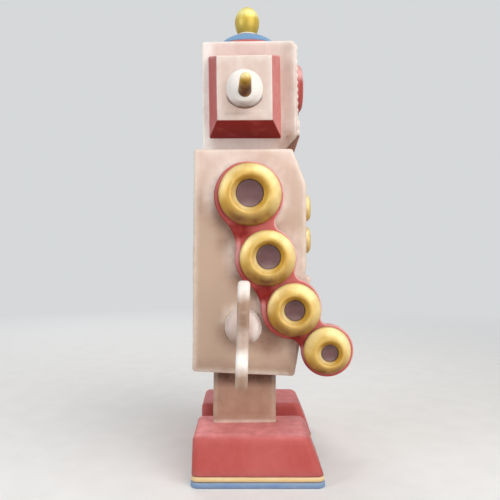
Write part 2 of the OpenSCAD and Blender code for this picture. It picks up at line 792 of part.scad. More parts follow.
// Motor frame
module motor_plate() {
    difference() {
        across([0, 0], -plate_out, -plate_in)
            polygon(rounded(box_outline(plate_back, base_z, plate_front, plate_top), plate_corner_r));
        rod(hip_at, -plate_out - cut, -plate_in + cut, hip_r);
        rod(arbor_at, -plate_out - cut, -plate_in + cut, arbor_r + run_fit);
        for (c = [crank_at, third_at, governor_at])
            rod(c, -plate_out - cut, -plate_in + cut, pin_r + run_fit);
        for (c = pillar_at)
            rod(c, -plate_out - cut, -plate_in + cut, pin_r);
    }
    for (x = motor_screw_x)
        difference() {
            translate([x - motor_foot_d / 2, -plate_in - cut, base_z])
                cube([motor_foot_d, motor_foot_w + cut, motor_plate_t]);
            translate([x, -motor_screw_y, base_z - cut]) cylinder(r = screw_r, h = 2 * motor_plate_t);
        }
}
module motor_plate_right() color(brass) motor_plate();
module motor_plate_left() color(brass) left_copy() motor_plate();
module motor_pillars() color(steel)
    for (c = pillar_at) {
        rod(c, -plate_in, plate_in, pillar_r);
        rod(c, -plate_out, plate_out, pin_r);
    }

// Mainspring: a flat spiral strip round the arbor, whose tail reaches the spring post
spring_t = 0.35;
spring_in_r = arbor_r + spring_t + seat_fit;
spring_out_r = great_tip_r - 4 * spring_t;
spring_tail = 50;
tail_steps = 4;
turn_steps = 24;
spring_end_r = spring_post_off - pillar_r - spring_t / 2;
function spring_r(a) =
    a < 360 * spring_turns
    ? spring_in_r + (spring_out_r - spring_in_r) * a / (360 * spring_turns)
    : spring_out_r + (spring_end_r - spring_out_r) * pow((a - 360 * spring_turns) / spring_tail, 2);
module mainspring() color(steel) {
    turns = [for (k = [0 : turn_steps * spring_turns]) k * 360 / turn_steps];
    tail = [for (k = [1 : tail_steps]) 360 * spring_turns + spring_tail * k / tail_steps];
    path = concat(turns, tail);
    start = spring_post_dir - 360 * spring_turns - spring_tail;
    across(arbor_at, spring_y0, spring_y1) polygon(concat(
        [for (a = path) polar(spring_r(a) + spring_t / 2, start + a)],
        [for (k = [len(path) - 1 : -1 : 0]) polar(spring_r(path[k]) - spring_t / 2, start + path[k])]
    ));
}

// Key: a barrel on the arbor and two round wings with a notch between them
key_outer_y = body_half_w + key_reach;
key_lobe_y = key_outer_y - key_lobe_r;
key_lobe_z = key_span / 2 - key_lobe_r;
key_barrel_y0 = body_half_w + key_boss_h + layer_gap;
key_web_y = key_lobe_y - key_lobe_r;
key_notch_r = 8;
key_rim = 2.4;
key_dish = 0.9;
key_socket = 3;
module key_outline() {
    off = sqrt(pow(key_lobe_r + key_notch_r, 2) - key_lobe_z * key_lobe_z);
    notch = [key_lobe_y + off, 0];
    for (z = [-key_lobe_z, key_lobe_z])
        translate([key_lobe_y, z]) circle(key_lobe_r);
    difference() {
        polygon([
            [key_lobe_y, key_lobe_z], [key_web_y, key_lobe_z], [key_web_y, -key_lobe_z],
            [key_lobe_y, -key_lobe_z], notch
        ]);
        translate(notch) circle(key_notch_r);
    }
}
module key() color(cream) translate([arbor_at[0], 0, arbor_at[1]]) rotate([0, key_turn, 0]) difference() {
    union() {
        rotate([90, 0, -90]) difference() {
            translate([0, 0, -key_t / 2]) linear_extrude(key_t) key_outline();
            for (s = [0, 1])
                mirror([0, 0, s])
                    for (z = [-key_lobe_z, key_lobe_z])
                        translate([key_lobe_y, z, key_t / 2 - key_dish])
                            cylinder(r = key_lobe_r - key_rim, h = key_t);
        }
        on_right(key_barrel_y0) cylinder(r = key_barrel_r, h = key_web_y + key_socket - key_barrel_y0);
    }
    on_right(key_barrel_y0 - cut) cylinder(r = arbor_r, h = key_web_y + key_socket - key_barrel_y0 + cut);
}
module winding_arbor() color(steel) rod(arbor_at, -key_web_y - key_socket, plate_out + layer_gap, arbor_r);

// Ratchet wheel on the arbor
ratchet_teeth = 12;
ratchet_tip_r = 6;
ratchet_root_r = 4.6;
ratchet_rake = 0.12;
module ratchet_wheel() color(steel) across(arbor_at, ratchet_y0, ratchet_y1) difference() {
    polygon([
        for (i = [0 : ratchet_teeth - 1])
            for (k = [0, 1])
                polar(k == 0 ? ratchet_tip_r : ratchet_root_r, (i + k * ratchet_rake) * 360 / ratchet_teeth)
    ]);
    circle(arbor_r);
}

// Involute gears
tooth_angle = 25;
flank_steps = 3;
tooth_play = 0.16;
function involute(a) = tan(a) * 180 / PI - a;
function gear_outline(teeth, size, turn) =
    let (
        r = teeth * size / 2,
        base = r * cos(tooth_angle),
        root = r - tooth_drop * size,
        tip = r + tooth_rise * size,
        low = max(root, base),
        half = 90 / teeth - tooth_play / 2 / r * 180 / PI + involute(tooth_angle),
        flank = [
            for (k = [0 : flank_steps])
                let (at = low + (tip - low) * k / flank_steps)
                [at, half - involute(acos(base / at))]
        ],
        side = concat([[root, flank[0][1]]], flank)
    )
    [
        for (i = [0 : teeth - 1])
            for (s = [-1, 1])
                for (k = [0 : len(side) - 1])
                    let (q = side[s < 0 ? k : len(side) - 1 - k])
                    polar(q[0], turn + i * 360 / teeth + s * q[1])
    ];

// Angle that puts a gap of the second gear on a tooth of the first, which lies dir away from it
function mesh_turn(n1, n2, dir) = dir + 180 - 360 / n2 * (0.5 - dir * n1 / 360);

// Great wheel, loose on the winding arbor, with its click
hole_count = 5;
great_hole_r = great_tip_r / 6;
click_pivot_r = great_tip_r * 0.74;
click_eye_r = 1.6;
click_rivet_r = 0.8;
click_t = 1.1;
click_dir = 100;
nose_dir = 62;
nose_w = 0.7;
nose_gap = 0.2;
module great_wheel() color(brass) across(arbor_at, great_y1 - wheel_t, great_y1) difference() {
    polygon(gear_outline(great_teeth, train_module, 0));
    circle(arbor_r + run_fit);
    for (k = [0 : hole_count - 1])
        rotate(click_dir + (k + 0.5) * 360 / hole_count) translate([click_pivot_r, 0]) circle(great_hole_r);
    rotate(click_dir) translate([click_pivot_r, 0]) circle(click_rivet_r);
}
module click() color(steel) {
    pivot = polar(click_pivot_r, click_dir);
    nose_r = ratchet_tip_r + nose_gap;
    across(arbor_at, great_y1 + layer_gap / 2, great_y1 + layer_gap / 2 + click_t) {
        translate(pivot) circle(click_eye_r);
        polygon([
            pivot + polar(click_eye_r, nose_dir + 110), polar(nose_r, nose_dir),
            polar(nose_r + nose_w, nose_dir), pivot + polar(click_eye_r, nose_dir - 50)
        ]);
    }
    rod(arbor_at + pivot, great_y1 - wheel_t, great_y1 + layer_gap, click_rivet_r);
    rod(arbor_at + pivot, great_y1, great_y1 + layer_gap, click_eye_r);
}

// The rest of the train: crank shaft, third shaft and governor
hole_at = 0.6;
hole_share = 0.2;
crank_eye = 1.8;
fan_r = 6.3;
fan_t = 0.5;
fan_hub = 0.7;
module pinion(at, teeth, size, turn, y0) {
    rod(at, -plate_out, plate_out, pin_r);
    across(at, y0 - pinion_over, y0 + wheel_t + pinion_over) polygon(gear_outline(teeth, size, turn));
}
module wheel(at, teeth, size, y0) across(at, y0, y0 + wheel_t) difference() {
    r = teeth * size / 2;
    polygon(gear_outline(teeth, size, 0));
    circle(pin_r);
    for (k = [0 : hole_count - 1])
        rotate(k * 360 / hole_count) translate([r * hole_at, 0]) circle(r * hole_share);
}
module crank_arbor() color(steel) {
    pinion(crank_at, pinion_teeth, train_module, mesh_turn(great_teeth, pinion_teeth, crank_dir),
        great_y1 - wheel_t);
    rod(crank_at, -crank_y - crank_t, crank_y + crank_t, pin_r);
}
module drive_wheel() color(brass) wheel(crank_at, drive_teeth, train_module, drive_y0);
module leg_cranks() color(steel)
    for (s = [0, 1])
        mirror([0, s, 0]) {
            across(crank_at, -crank_y - crank_t, -crank_y) difference() {
                circle(crank_throw + crank_eye);
                circle(pin_r);
            }
            rod(crank_at + polar(crank_throw, lever_dir + 180 * s), -leg_in + layer_gap, -crank_y - crank_t, pin_r);
        }
module third_arbor() color(steel)
    pinion(third_at, pinion_teeth, train_module, mesh_turn(drive_teeth, pinion_teeth, third_dir), drive_y0);
module third_wheel() color(brass) wheel(third_at, third_teeth, governor_module, third_y0);
module governor_arbor() color(steel)
    pinion(governor_at, governor_teeth, governor_module,
        mesh_turn(third_teeth, governor_teeth, governor_dir), third_y0);
module governor_fan() color(brass) across(governor_at, spring_y0, spring_y1) difference() {
    union() {
        translate([-fan_r, -fan_t / 2]) square([2 * fan_r, fan_t]);
        circle(pin_r + fan_hub);
    }
    circle(pin_r);
}

// Head casing, open below, and the floor that turns on the neck tube
stud_r = 1.5;
module head_shell() color(cream) {
    half = head_half_w - tin;
    difference() {
        casing(head_side, head_side_r, head_half_w, edge_r);
        casing(inset(head_side, tin), [for (r = head_side_r) r - tin / 2], half, edge_r - tin / 2);
        translate([head_back + tin, -half, head_z0 - cut]) cube([head_d - chin_d - 2 * tin, 2 * half, 2 * edge_r]);
        translate([crown_x, 0, head_z1 - 2 * tin]) cylinder(r = stud_r, h = 3 * tin);
    }
}
module head_floor() color(cream) {
    half = head_half_w - tin - seat_fit;
    difference() {
        translate([head_back + tin + seat_fit, -half, head_z0])
            cube([head_d - chin_d - 2 * tin - 2 * seat_fit, 2 * half, floor_t]);
        translate([0, 0, head_z0 - cut]) cylinder(r = neck_r + run_fit, h = 2 * floor_t);
    }
}

// Face plate with a row of rivets up each side and along the top
face_t = 0.5;
face_margin = 1;
face_r = 1.2;
face_x = head_front + face_t;
face_half_w = head_half_w - face_margin;
face_z0 = head_z0 + chin_h + face_margin;
face_z1 = head_z1 - 2 * face_margin;
rivet_inset = 1.4;
rivet_rise = 0.8;
rivet_half_y = face_half_w - rivet_inset;
rivet_z0 = face_z0 + rivet_inset;
rivet_z1 = face_z1 - rivet_inset;
rivets_up = floor((rivet_z1 - rivet_z0) / rivet_pitch);
rivets_over = ceil(2 * rivet_half_y / rivet_pitch);
rivet_at = concat(
    [for (y = [-rivet_half_y, rivet_half_y]) for (k = [0 : rivets_up]) [y, rivet_z1 - k * rivet_pitch]],
    [for (k = [1 : rivets_over - 1]) [rivet_half_y * (2 * k / rivets_over - 1), rivet_z1]]
);
module face_plate() color(cream) on_front(head_front) linear_extrude(face_t)
    polygon(rounded(box_outline(-face_half_w, face_z0, face_half_w, face_z1), face_r));
module face_rivets() color(white)
    for (p = rivet_at)
        on_front(face_x) translate([p[0], p[1], 0]) solid_cap(rivet_r, rivet_rise);

// Eyes and mouth
lens_rise = 3;
eye_z = head_z0 + eye_rise;
module at_eyes()
    for (y = [-eye_pitch / 2, eye_pitch / 2])
        on_front(face_x) translate([y, eye_z, 0]) children();
module eye_rims() color(red) at_eyes()
    cap_zone(cap_ball_r(eye_dia / 2, eye_dome_h), eye_dome_h, tin, 0, eye_dome_h, eye_open_dia / 2);
module eye_lenses() color(white) at_eyes() solid_cap(eye_open_dia / 2 - run_fit, lens_rise);
mouth_half_w = rivet_half_y - rivet_r - seat_fit;
mouth_r = 1.6;
mouth_slots = 9;
slot_inset = 2;
module mouth_grille() color(cream) {
    pitch = 2 * (mouth_half_w - slot_inset) / mouth_slots;
    difference() {
        on_front(face_x) linear_extrude(mouth_t)
            polygon(rounded(box_outline(-mouth_half_w, face_z0, mouth_half_w, face_z0 + mouth_h), mouth_r));
        for (k = [0 : mouth_slots - 1])
            translate([face_x + mouth_t / 2, (k + 0.25) * pitch - mouth_half_w + slot_inset, face_z0 + slot_inset])
                cube([mouth_t, pitch / 2, mouth_h - 2 * slot_inset]);
    }
}

// Jaw: a hollow wedge below the mouth, on the chin's slope
jaw_clear = 0.5;
jaw_z0 = head_z0 + jaw_clear;
jaw_z1 = face_z0 - seat_fit;
jaw_front = face_x + mouth_t;
jaw_side = [
    [head_front - chin_d + chin_d * jaw_clear / chin_h, jaw_z0],
    [jaw_front - jaw_lean, jaw_z0],
    [jaw_front, jaw_z1],
    [head_front, jaw_z1],
    [head_front, head_z0 + chin_h]
];
module jaw() color(brown) {
    inner = inset(jaw_side, tin);
    difference() {
        across([0, 0], -mouth_half_w, mouth_half_w) polygon(jaw_side);
        across([0, 0], tin - mouth_half_w, mouth_half_w - tin) polygon([
            [jaw_side[0][0], jaw_z0 + tin], inner[1], inner[2], [head_front - cut, jaw_z1 - tin]
        ]);
    }
}

// Ears: a hollow block with leaning sides, a dome and a rod
ear_y = head_half_w + ear_reach;
ear_at = [ear_x, head_z0 + ear_rise];
ear_stud_r = 1.6;
ear_rivet = 1;
ear_rivet_t = 0.8;
module frustum(d, h, bevel, reach) {
    x = d / 2;
    z = h / 2;
    polyhedron(
        points = [
            [-x, -z, 0], [x, -z, 0], [x, z, 0], [-x, z, 0],
            [bevel - x, bevel - z, reach], [x - bevel, bevel - z, reach],
            [x - bevel, z - bevel, reach], [bevel - x, z - bevel, reach]
        ],
        faces = [[0, 1, 2, 3], [7, 6, 5, 4], [4, 5, 1, 0], [5, 6, 2, 1], [6, 7, 3, 2], [7, 4, 0, 3]]
    );
}
module ear_block() on_right(head_half_w, ear_at) difference() {
    frustum(ear_d, ear_h, ear_bevel, ear_reach);
    translate([0, 0, -cut])
        frustum(ear_d - 2 * tin, ear_h - 2 * tin, ear_bevel * (1 - tin / ear_reach), ear_reach - tin + cut);
    cylinder(r = ear_stud_r, h = 2 * ear_reach);
}
module ear_rod() {
    taper_h = ear_rod_len - ear_tip_r;
    on_right(ear_y, ear_at) {
        cylinder(r = ear_rod_r, h = ear_dome_h);
        translate([0, 0, ear_dome_h]) cylinder(r1 = ear_rod_r, r2 = ear_tip_r, h = taper_h - ear_dome_h);
        translate([0, 0, taper_h]) rotate_extrude() intersection() {
            circle(ear_tip_r);
            square(ear_tip_r);
        }
    }
    on_right(ear_y - tin - ear_rivet_t, ear_at) {
        cylinder(r = ear_stud_r, h = tin + ear_rivet_t);
        cylinder(r = ear_stud_r + ear_rivet, h = ear_rivet_t);
    }
}
module ear_blocks() color(red) both_sides() ear_block();
module ear_domes() color(white) both_sides() on_right(ear_y, ear_at)
    cap_zone(cap_ball_r(ear_dome_r, ear_dome_h), ear_dome_h, tin, 0, ear_dome_h, ear_rod_r);
module ear_rods() color(gold) both_sides() ear_rod();

// Crown: a red band and a blue cap of one ball, a collar and an egg-shaped finial on a stud
crown_ball = cap_ball_r(crown_r, crown_h);
collar_flare = 0.9;
collar_h = 1;
finial_base_r = 5.1;
finial_wide_at = 0.45;
finial_steps = 10;
fine_fn = 4 * $fn;
module on_crown() translate([crown_x, 0, head_z1]) children();
module crown_band() color(red) on_crown() cap_zone(crown_ball, crown_h, tin, 0, crown_band_h, 0);
module crown_cap() color(blue) on_crown() cap_zone(crown_ball, crown_h, tin, crown_band_h, crown_h, stud_r);
module finial_collar() color(white) on_crown() rotate_extrude() difference() {
    polygon([
        [stud_r, crown_h - collar_h], [finial_base_r + collar_flare, crown_h - collar_h],
        [finial_base_r, crown_h + collar_h], [stud_r, crown_h + collar_h]
    ]);
    translate([0, crown_h - crown_ball]) circle(crown_ball, $fn = fine_fn);
}
function finial_section(wide_z) = concat(
    [[0, 0]],
    [for (k = [0 : finial_steps])
        let (t = k / finial_steps)
        [finial_r - (finial_r - finial_base_r) * pow(1 - t, 2), wide_z * t]],
    [for (k = [1 : finial_steps])
        let (a = 90 * k / finial_steps)
        [finial_r * cos(a), wide_z + (finial_h - wide_z) * sin(a)]]
);
module finial() color(gold) on_crown() {
    translate([0, 0, crown_h + collar_h]) rotate_extrude()
        polygon(finial_section(finial_h * finial_wide_at));
    translate([0, 0, -tin - collar_h]) cylinder(r = stud_r, h = crown_h + tin + 3 * collar_h);
    translate([0, 0, -tin - collar_h]) cylinder(r = 2 * stud_r, h = collar_h);
}

body_shell();
rear_cover();
base_plate();
casing_screws();
chest_panel();
dial_bezels();
dial_faces();
key_boss();
neck_tube();
neck_clip();
shoulder_bushes();
hip_axle();
motor_plate_right();
motor_plate_left();
motor_pillars();
mainspring();
key();
winding_arbor();
ratchet_wheel();
great_wheel();
click();
crank_arbor();
drive_wheel();
leg_cranks();
third_arbor();
third_wheel();
governor_arbor();
governor_fan();
head_shell();
head_floor();
face_plate();
face_rivets();
eye_rims();
eye_lenses();
mouth_grille();
jaw();
ear_blocks();
ear_domes();
ear_rods();
crown_band();
crown_cap();
finial_collar();
finial();
arm_right();
arm_left();
arm_rings_right();
arm_rings_left();
arm_discs_right();
arm_discs_left();
shoulder_pin_right();
shoulder_pin_left();
leg_right();
leg_left();
foot_shell_right();
foot_shell_left();
foot_trim_right();
foot_trim_left();
foot_sole_right();
foot_sole_left();
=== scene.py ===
# %% [markdown]
# # A wind-up robot, painted and lit
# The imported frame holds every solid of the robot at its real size. The clockwork inside keeps those solids.
# The pressed and painted pieces outside are rebuilt here with softer edges, so that paint can wear on them.
# Everything is drawn in millimetres: +X is the way the robot faces, +Y is its left and +Z is up.

# %% Load the frame
import json
import math

import bmesh
import bpy
from mathutils import Matrix, Vector, noise


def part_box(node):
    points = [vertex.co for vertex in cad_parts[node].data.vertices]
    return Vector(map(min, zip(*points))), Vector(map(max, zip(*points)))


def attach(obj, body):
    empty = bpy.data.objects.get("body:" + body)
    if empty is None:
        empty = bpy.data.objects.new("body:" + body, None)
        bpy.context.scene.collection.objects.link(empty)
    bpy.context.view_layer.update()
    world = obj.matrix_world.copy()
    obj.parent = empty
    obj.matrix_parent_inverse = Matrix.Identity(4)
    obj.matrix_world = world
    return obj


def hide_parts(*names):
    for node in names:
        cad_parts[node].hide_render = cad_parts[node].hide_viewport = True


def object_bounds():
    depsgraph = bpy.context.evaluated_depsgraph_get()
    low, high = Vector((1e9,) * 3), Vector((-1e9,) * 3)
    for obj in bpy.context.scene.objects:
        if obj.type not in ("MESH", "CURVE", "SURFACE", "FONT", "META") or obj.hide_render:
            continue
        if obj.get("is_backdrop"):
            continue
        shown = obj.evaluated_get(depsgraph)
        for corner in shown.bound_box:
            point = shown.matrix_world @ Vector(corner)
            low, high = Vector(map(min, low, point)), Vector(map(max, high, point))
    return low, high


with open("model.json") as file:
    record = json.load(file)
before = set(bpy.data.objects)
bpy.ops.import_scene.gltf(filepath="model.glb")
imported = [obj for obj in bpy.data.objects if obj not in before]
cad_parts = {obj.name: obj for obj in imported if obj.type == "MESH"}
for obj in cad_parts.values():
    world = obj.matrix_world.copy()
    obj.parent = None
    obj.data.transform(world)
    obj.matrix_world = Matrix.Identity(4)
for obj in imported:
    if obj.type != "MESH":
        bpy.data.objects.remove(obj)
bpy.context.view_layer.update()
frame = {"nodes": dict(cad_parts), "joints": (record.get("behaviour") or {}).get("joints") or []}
MM = 0.001
scene = bpy.context.scene
pivots = {joint["name"]: Vector(joint["pos_m"]) / MM for joint in frame["joints"]}


def corners_of(node):
    """Lowest and highest corner of a frame node, in millimetres."""
    return [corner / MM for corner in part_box(node)]


def in_scene(name, data):
    """An object in the scene that holds a mesh, a lamp or the camera."""
    item = bpy.data.objects.new(name, data)
    scene.collection.objects.link(item)
    return item


# %% [markdown]
# ## Camera
# The photograph is taken level, square to the robot's right side, from about a third of a metre in front
# of its middle plane. A camera that close shows perspective: the near foot looks bigger than the far one.
# The lens and a small shift place the robot in the frame without tilting the camera.

# %% Camera
PHOTO_LENS = 43.2
PHOTO_SHIFT = -0.014
PHOTO_SPOT = Vector((0.0, -342.0, 119.0))

camera = bpy.data.cameras.new("photo_camera")
camera.lens = PHOTO_LENS
camera.sensor_width = 36.0
camera.shift_y = PHOTO_SHIFT
camera.clip_start = 0.01
scene.camera = in_scene("photo_camera", camera)
scene.camera.location = PHOTO_SPOT * MM
scene.camera.rotation_euler = (math.radians(90), 0, 0)
scene.view_settings.view_transform = "Standard"
print("camera", round(PHOTO_SPOT.length), "mm from the floor's origin")

# %% [markdown]
# ## Wiring nodes
# Materials, the world and the Geometry Nodes trees are all node trees. Setting nodes out by hand takes many
# lines. So one helper adds a node and feeds its sockets, and its output comes back as a Number: adding or
# multiplying Numbers puts Math nodes into the tree, and the rule can be written as plain arithmetic.

# %% Helpers for node trees
class Number:
    """A node's output. Arithmetic on it adds Math nodes to its tree."""

    def __init__(self, output):
        self.output = output
        self.tree = output.id_data

    def math(self, operation, *others):
        return add_node(self.tree, "ShaderNodeMath", self, *others, operation=operation)

    def __add__(self, other):
        return self.math("ADD", other)

    def __sub__(self, other):
        return self.math("SUBTRACT", other)

    def __rsub__(self, other):
        return add_node(self.tree, "ShaderNodeMath", other, self, operation="SUBTRACT")

    def __mul__(self, other):
        return self.math("MULTIPLY", other)

    def __truediv__(self, other):
        return self.math("DIVIDE", other)

    def most(self, other):
        return self.math("MAXIMUM", other)

    def least(self, other):
        return self.math("MINIMUM", other)

    def ranged(self, low, high, to_low=0.0, to_high=1.0):
        """The number stretched from one range to another, and held inside it."""
        return add_node(self.tree, "ShaderNodeMapRange", self, low, high, to_low, to_high)

    def mixed(self, first, second):
        """Colour that goes from the first to the second as the number goes from 0 to 1."""
        feeds = [self] + [None] * 5 + [first, second]
        return add_node(self.tree, "ShaderNodeMix", *feeds, pick=2, data_type="RGBA")


def add_node(tree, kind, *feeds, pick=0, **named):
    """Adds a node and gives one output. Feeds fill its sockets in order. Names in small letters are
    settings of the node, and the others are sockets."""
    node = tree.nodes.new(kind)
    for title in [title for title in named if title.islower()]:
        setattr(node, title, named.pop(title))
    sockets = list(zip(node.inputs, feeds))
    sockets += [(node.inputs[title.replace("_", " ")], value) for title, value in named.items()]
    for socket, value in sockets:
        if isinstance(value, Number):
            tree.links.new(value.output, socket)
        elif value is not None:
            socket.default_value = value
    return Number(node.outputs[pick]) if len(node.outputs) else None


def tint(*screen):
    """A colour picked on a screen, 0 to 255, as the linear colour that shaders want."""
    shares = [part / 255 for part in screen]
    return (*[s / 12.92 if s <= 0.04045 else ((s + 0.055) / 1.055) ** 2.4 for s in shares], 1.0)


print("node helpers ready")

# %% [markdown]
# ## Floor and light
# A studio floor should be pale, keep the robot's shadow and fade into the backdrop with no edge. The floor
# here is plain diffuse white near the robot, and turns into the backdrop's own colour further out.
# The light follows the photograph: a broad lamp overhead, another in front on the right, a weaker cool one
# behind on the left, and an even grey sky that fills the shadows. A lamp on the far side keeps the robot's
# left side readable when the view goes round it.

# %% Floor
BACKDROP = tint(214, 216, 218)
PAPER = (tint(236, 236, 235), tint(240, 240, 239))
FLOOR_REACH = 6000.0
FADE_FROM = 0.2
FADE_TO = 0.75


def new_finish(name):
    """An empty material, its tree and the piece's own coordinates."""
    material = bpy.data.materials.new(name)
    material.use_nodes = True
    material.node_tree.nodes.clear()
    place = add_node(material.node_tree, "ShaderNodeTexCoord", pick="Object")
    return material, material.node_tree, place


def seen_directly(tree):
    """1 where the camera looks, straight or by way of gloss and glass, and 0 where light only bounces."""
    rays = add_node(tree, "ShaderNodeLightPath").output.node.outputs
    straight, gloss, glass = [Number(rays[f"Is {kind} Ray"]) for kind in ("Camera", "Glossy", "Transmission")]
    return straight.most(gloss).most(glass)


def meshed(name, shape):
    """A mesh of a shape drawn in millimetres."""
    bmesh.ops.scale(shape, vec=(MM, MM, MM), verts=shape.verts)
    mesh = bpy.data.meshes.new(name)
    shape.to_mesh(mesh)
    shape.free()
    return mesh


floor_finish, tree, place = new_finish("studio_floor")
away = add_node(tree, "ShaderNodeVectorMath", place, pick="Value", operation="LENGTH")
fade = away.ranged(FADE_FROM, FADE_TO) * seen_directly(tree)
paper = add_node(tree, "ShaderNodeTexNoise", place, Scale=60.0).ranged(0.3, 0.7).mixed(*PAPER)
matte = add_node(tree, "ShaderNodeBsdfDiffuse", paper)
haze = add_node(tree, "ShaderNodeEmission", BACKDROP, 1.0)
add_node(tree, "ShaderNodeOutputMaterial", add_node(tree, "ShaderNodeMixShader", fade, matte, haze))

sheet = bmesh.new()
bmesh.ops.create_circle(sheet, cap_ends=True, segments=96, radius=FLOOR_REACH)
floor = in_scene("studio_floor", meshed("studio_floor", sheet))
floor.data.materials.append(floor_finish)
floor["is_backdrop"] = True
print("floor", FLOOR_REACH, "mm out")

# %% Light
SKY = 0.36
SKY_TONES = ((0.42, 0.40, 0.40, 1.0), (1.0, 0.99, 0.98, 1.0))
LAMP_AIM = Vector((0, 0, 140))

scene.world = bpy.data.worlds.new("studio_sky")
scene.world.use_nodes = True
tree = scene.world.node_tree
tree.nodes.clear()
aim = add_node(tree, "ShaderNodeTexCoord", pick="Generated")
dome = add_node(tree, "ShaderNodeSeparateXYZ", aim, pick="Z").ranged(-0.3, 0.9).mixed(*SKY_TONES)
sky = add_node(tree, "ShaderNodeBackground", dome, SKY)
backdrop = add_node(tree, "ShaderNodeBackground", BACKDROP, 1.0)
blend = add_node(tree, "ShaderNodeMixShader", seen_directly(tree), sky, backdrop)
add_node(tree, "ShaderNodeOutputWorld", blend)


def lamp(name, spot, size, watts, colour):
    """A square soft lamp at a point, in millimetres, that faces the robot."""
    light = bpy.data.lights.new(name, "AREA")
    light.size = size * MM
    light.energy = watts
    light.color = colour
    item = in_scene(name, light)
    item.location = Vector(spot) * MM
    item.rotation_euler = (LAMP_AIM - Vector(spot)).to_track_quat("-Z", "Y").to_euler()
    return item


lamp("top_lamp", (280, -420, 660), 700, 3.8, (1.0, 0.98, 0.96))
lamp("front_lamp", (580, -820, 260), 640, 2.7, (1.0, 0.99, 0.98))
lamp("back_lamp", (-700, -460, 420), 420, 2.2, (0.86, 0.92, 1.0))
far_lamp = lamp("far_lamp", (-300, 760, 520), 500, 3.0, (1.0, 0.98, 0.96))
far_lamp.visible_glossy = False
print("four lamps and a sky of", SKY)

# %% [markdown]
# ## Hand-painted finish
# The robot in the photograph is painted by hand: soft clouds of a second tone, faint brush strokes, brown
# sprayed into the hollows, and pale worn spots along the edges. Over that go painted shade in hollows and
# under overhangs, and painted highlights on edges and lit sides. A single colour would look like plastic.
# One recipe makes every paint. It reads two numbers that each mesh carries at its points: one for worn edges
# and painted highlights, and one for airbrushed brown and painted shade. They belong to the mesh, so the
# paint stays put when a piece moves.

# %% Paint recipe
def speckle(place, size, detail, rough=0.6):
    """Noise whose clouds are about this many millimetres across."""
    scale = 1 / (size * MM)
    return add_node(place.tree, "ShaderNodeTexNoise", place, Scale=scale, Detail=detail, Roughness=rough)


def point_number(tree, title):
    """A number that the mesh carries at its points."""
    return add_node(tree, "ShaderNodeAttribute", pick="Fac", attribute_name=title)


def surface(tree, relief, strength, depth, **looks):
    """Ends a material: a Principled shader with fine relief."""
    bump = add_node(tree, "ShaderNodeBump", Strength=strength, Distance=depth * MM, Height=relief)
    shader = add_node(tree, "ShaderNodeBsdfPrincipled", Normal=bump, **looks)
    add_node(tree, "ShaderNodeOutputMaterial", shader)


def hand_paint(name, *tones, gloss=0.42, metal=0.0, shine=0.22, blot=17.0, grain=0.3, low_coat=None):
    """Brushed and sprayed paint, with painted shade and painted highlights. low_coat is a colour with the
    heights, in mm, that it fades between.
    """
    material, tree, place = new_finish(name)
    coat, cloud, shade, pale_tone = [tint(*tone) for tone in tones]
    colour = speckle(place, blot, 5).ranged(0.4, 0.68).mixed(coat, cloud)
    strokes = speckle(add_node(tree, "ShaderNodeMapping", place, Scale=(1.0, 1.0, 0.14)), 2.6, 3)
    colour = strokes.ranged(0.5, 0.8, 0.0, 0.5).mixed(colour, cloud)
    if low_coat:
        tone, low, high = low_coat
        uneven = speckle(place, 30, 2).ranged(0.3, 0.7, -0.01, 0.01)
        height = add_node(tree, "ShaderNodeSeparateXYZ", place, pick="Z") + uneven
        colour = height.ranged(high * MM, low * MM).mixed(colour, tint(*tone))
    # The dark tone goes in for airbrushed brown and painted shade, and the pale tone for worn edges and
    # painted highlights.
    mist = speckle(place, 7, 4).ranged(0.3, 0.7, 0.65, 1.2)
    colour = (point_number(tree, "wash") * mist).mixed(colour, shade)
    patchiness = speckle(place, 5.5, 3).ranged(0.3, 0.7, 0.34, 0.68)
    colour = (point_number(tree, "wear") * patchiness).mixed(colour, pale_tone)
    rough = speckle(place, 5, 4).ranged(0.3, 0.7, gloss - 0.07, gloss + 0.1)
    relief = speckle(place, 1.1, 2) + strokes * 0.8
    surface(tree, relief, grain, 0.12, Base_Color=colour, Metallic=metal, Roughness=rough,
            Specular_IOR_Level=shine)
    return material


print("paint recipe ready")

# %% The robot's paints
PAINTS = {  # coat, clouds, dark tone for airbrushed brown and painted shade, pale tone for worn edges and painted highlights
    "cream_paint": ((226, 208, 199), (212, 186, 174), (132, 92, 66), (248, 243, 236)),
    "body_paint": ((229, 206, 193), (212, 182, 165), (138, 100, 80), (244, 230, 217)),
    "leg_paint": ((196, 158, 135), (174, 136, 113), (92, 58, 42), (232, 214, 198)),
    "red_paint": ((194, 88, 82), (202, 106, 100), (134, 35, 30), (240, 194, 190)),
    "gold_paint": ((208, 158, 52), (222, 180, 80), (108, 58, 18), (253, 240, 184)),
    "lemon_paint": ((212, 180, 44), (226, 198, 76), (130, 92, 30), (253, 247, 168)),
    "mauve_paint": ((108, 76, 78), (124, 94, 96), (72, 44, 44), (180, 160, 160)),
    "blue_paint": ((98, 144, 190), (124, 166, 202), (60, 90, 134), (206, 218, 228)),
    "white_paint": ((241, 236, 230), (228, 219, 211), (122, 84, 64), (252, 249, 245)),
    "buff_paint": ((236, 203, 148), (228, 188, 128), (116, 72, 44), (248, 232, 200)),
    "brown_paint": ((116, 76, 62), (134, 94, 80), (70, 42, 34), (176, 140, 122)),
    # foot_paint's pink pale tone makes the foot's top paler: partly its paint, partly painted light.
    "foot_paint": ((186, 82, 77), (194, 97, 92), (84, 11, 10), (250, 160, 160)),
    # key_paint's tan dark tone is painted shade under the key's wings.
    "key_paint": ((232, 216, 206), (222, 202, 190), (164, 128, 102), (252, 248, 243)),
    # horn_paint's deep brown dark tone is painted shade under the ear rods.
    "horn_paint": ((206, 160, 60), (222, 182, 84), (88, 44, 10), (253, 240, 184)),
    "sole_rubber": ((114, 144, 184), (138, 160, 188), (72, 84, 106), (180, 190, 202)),
}
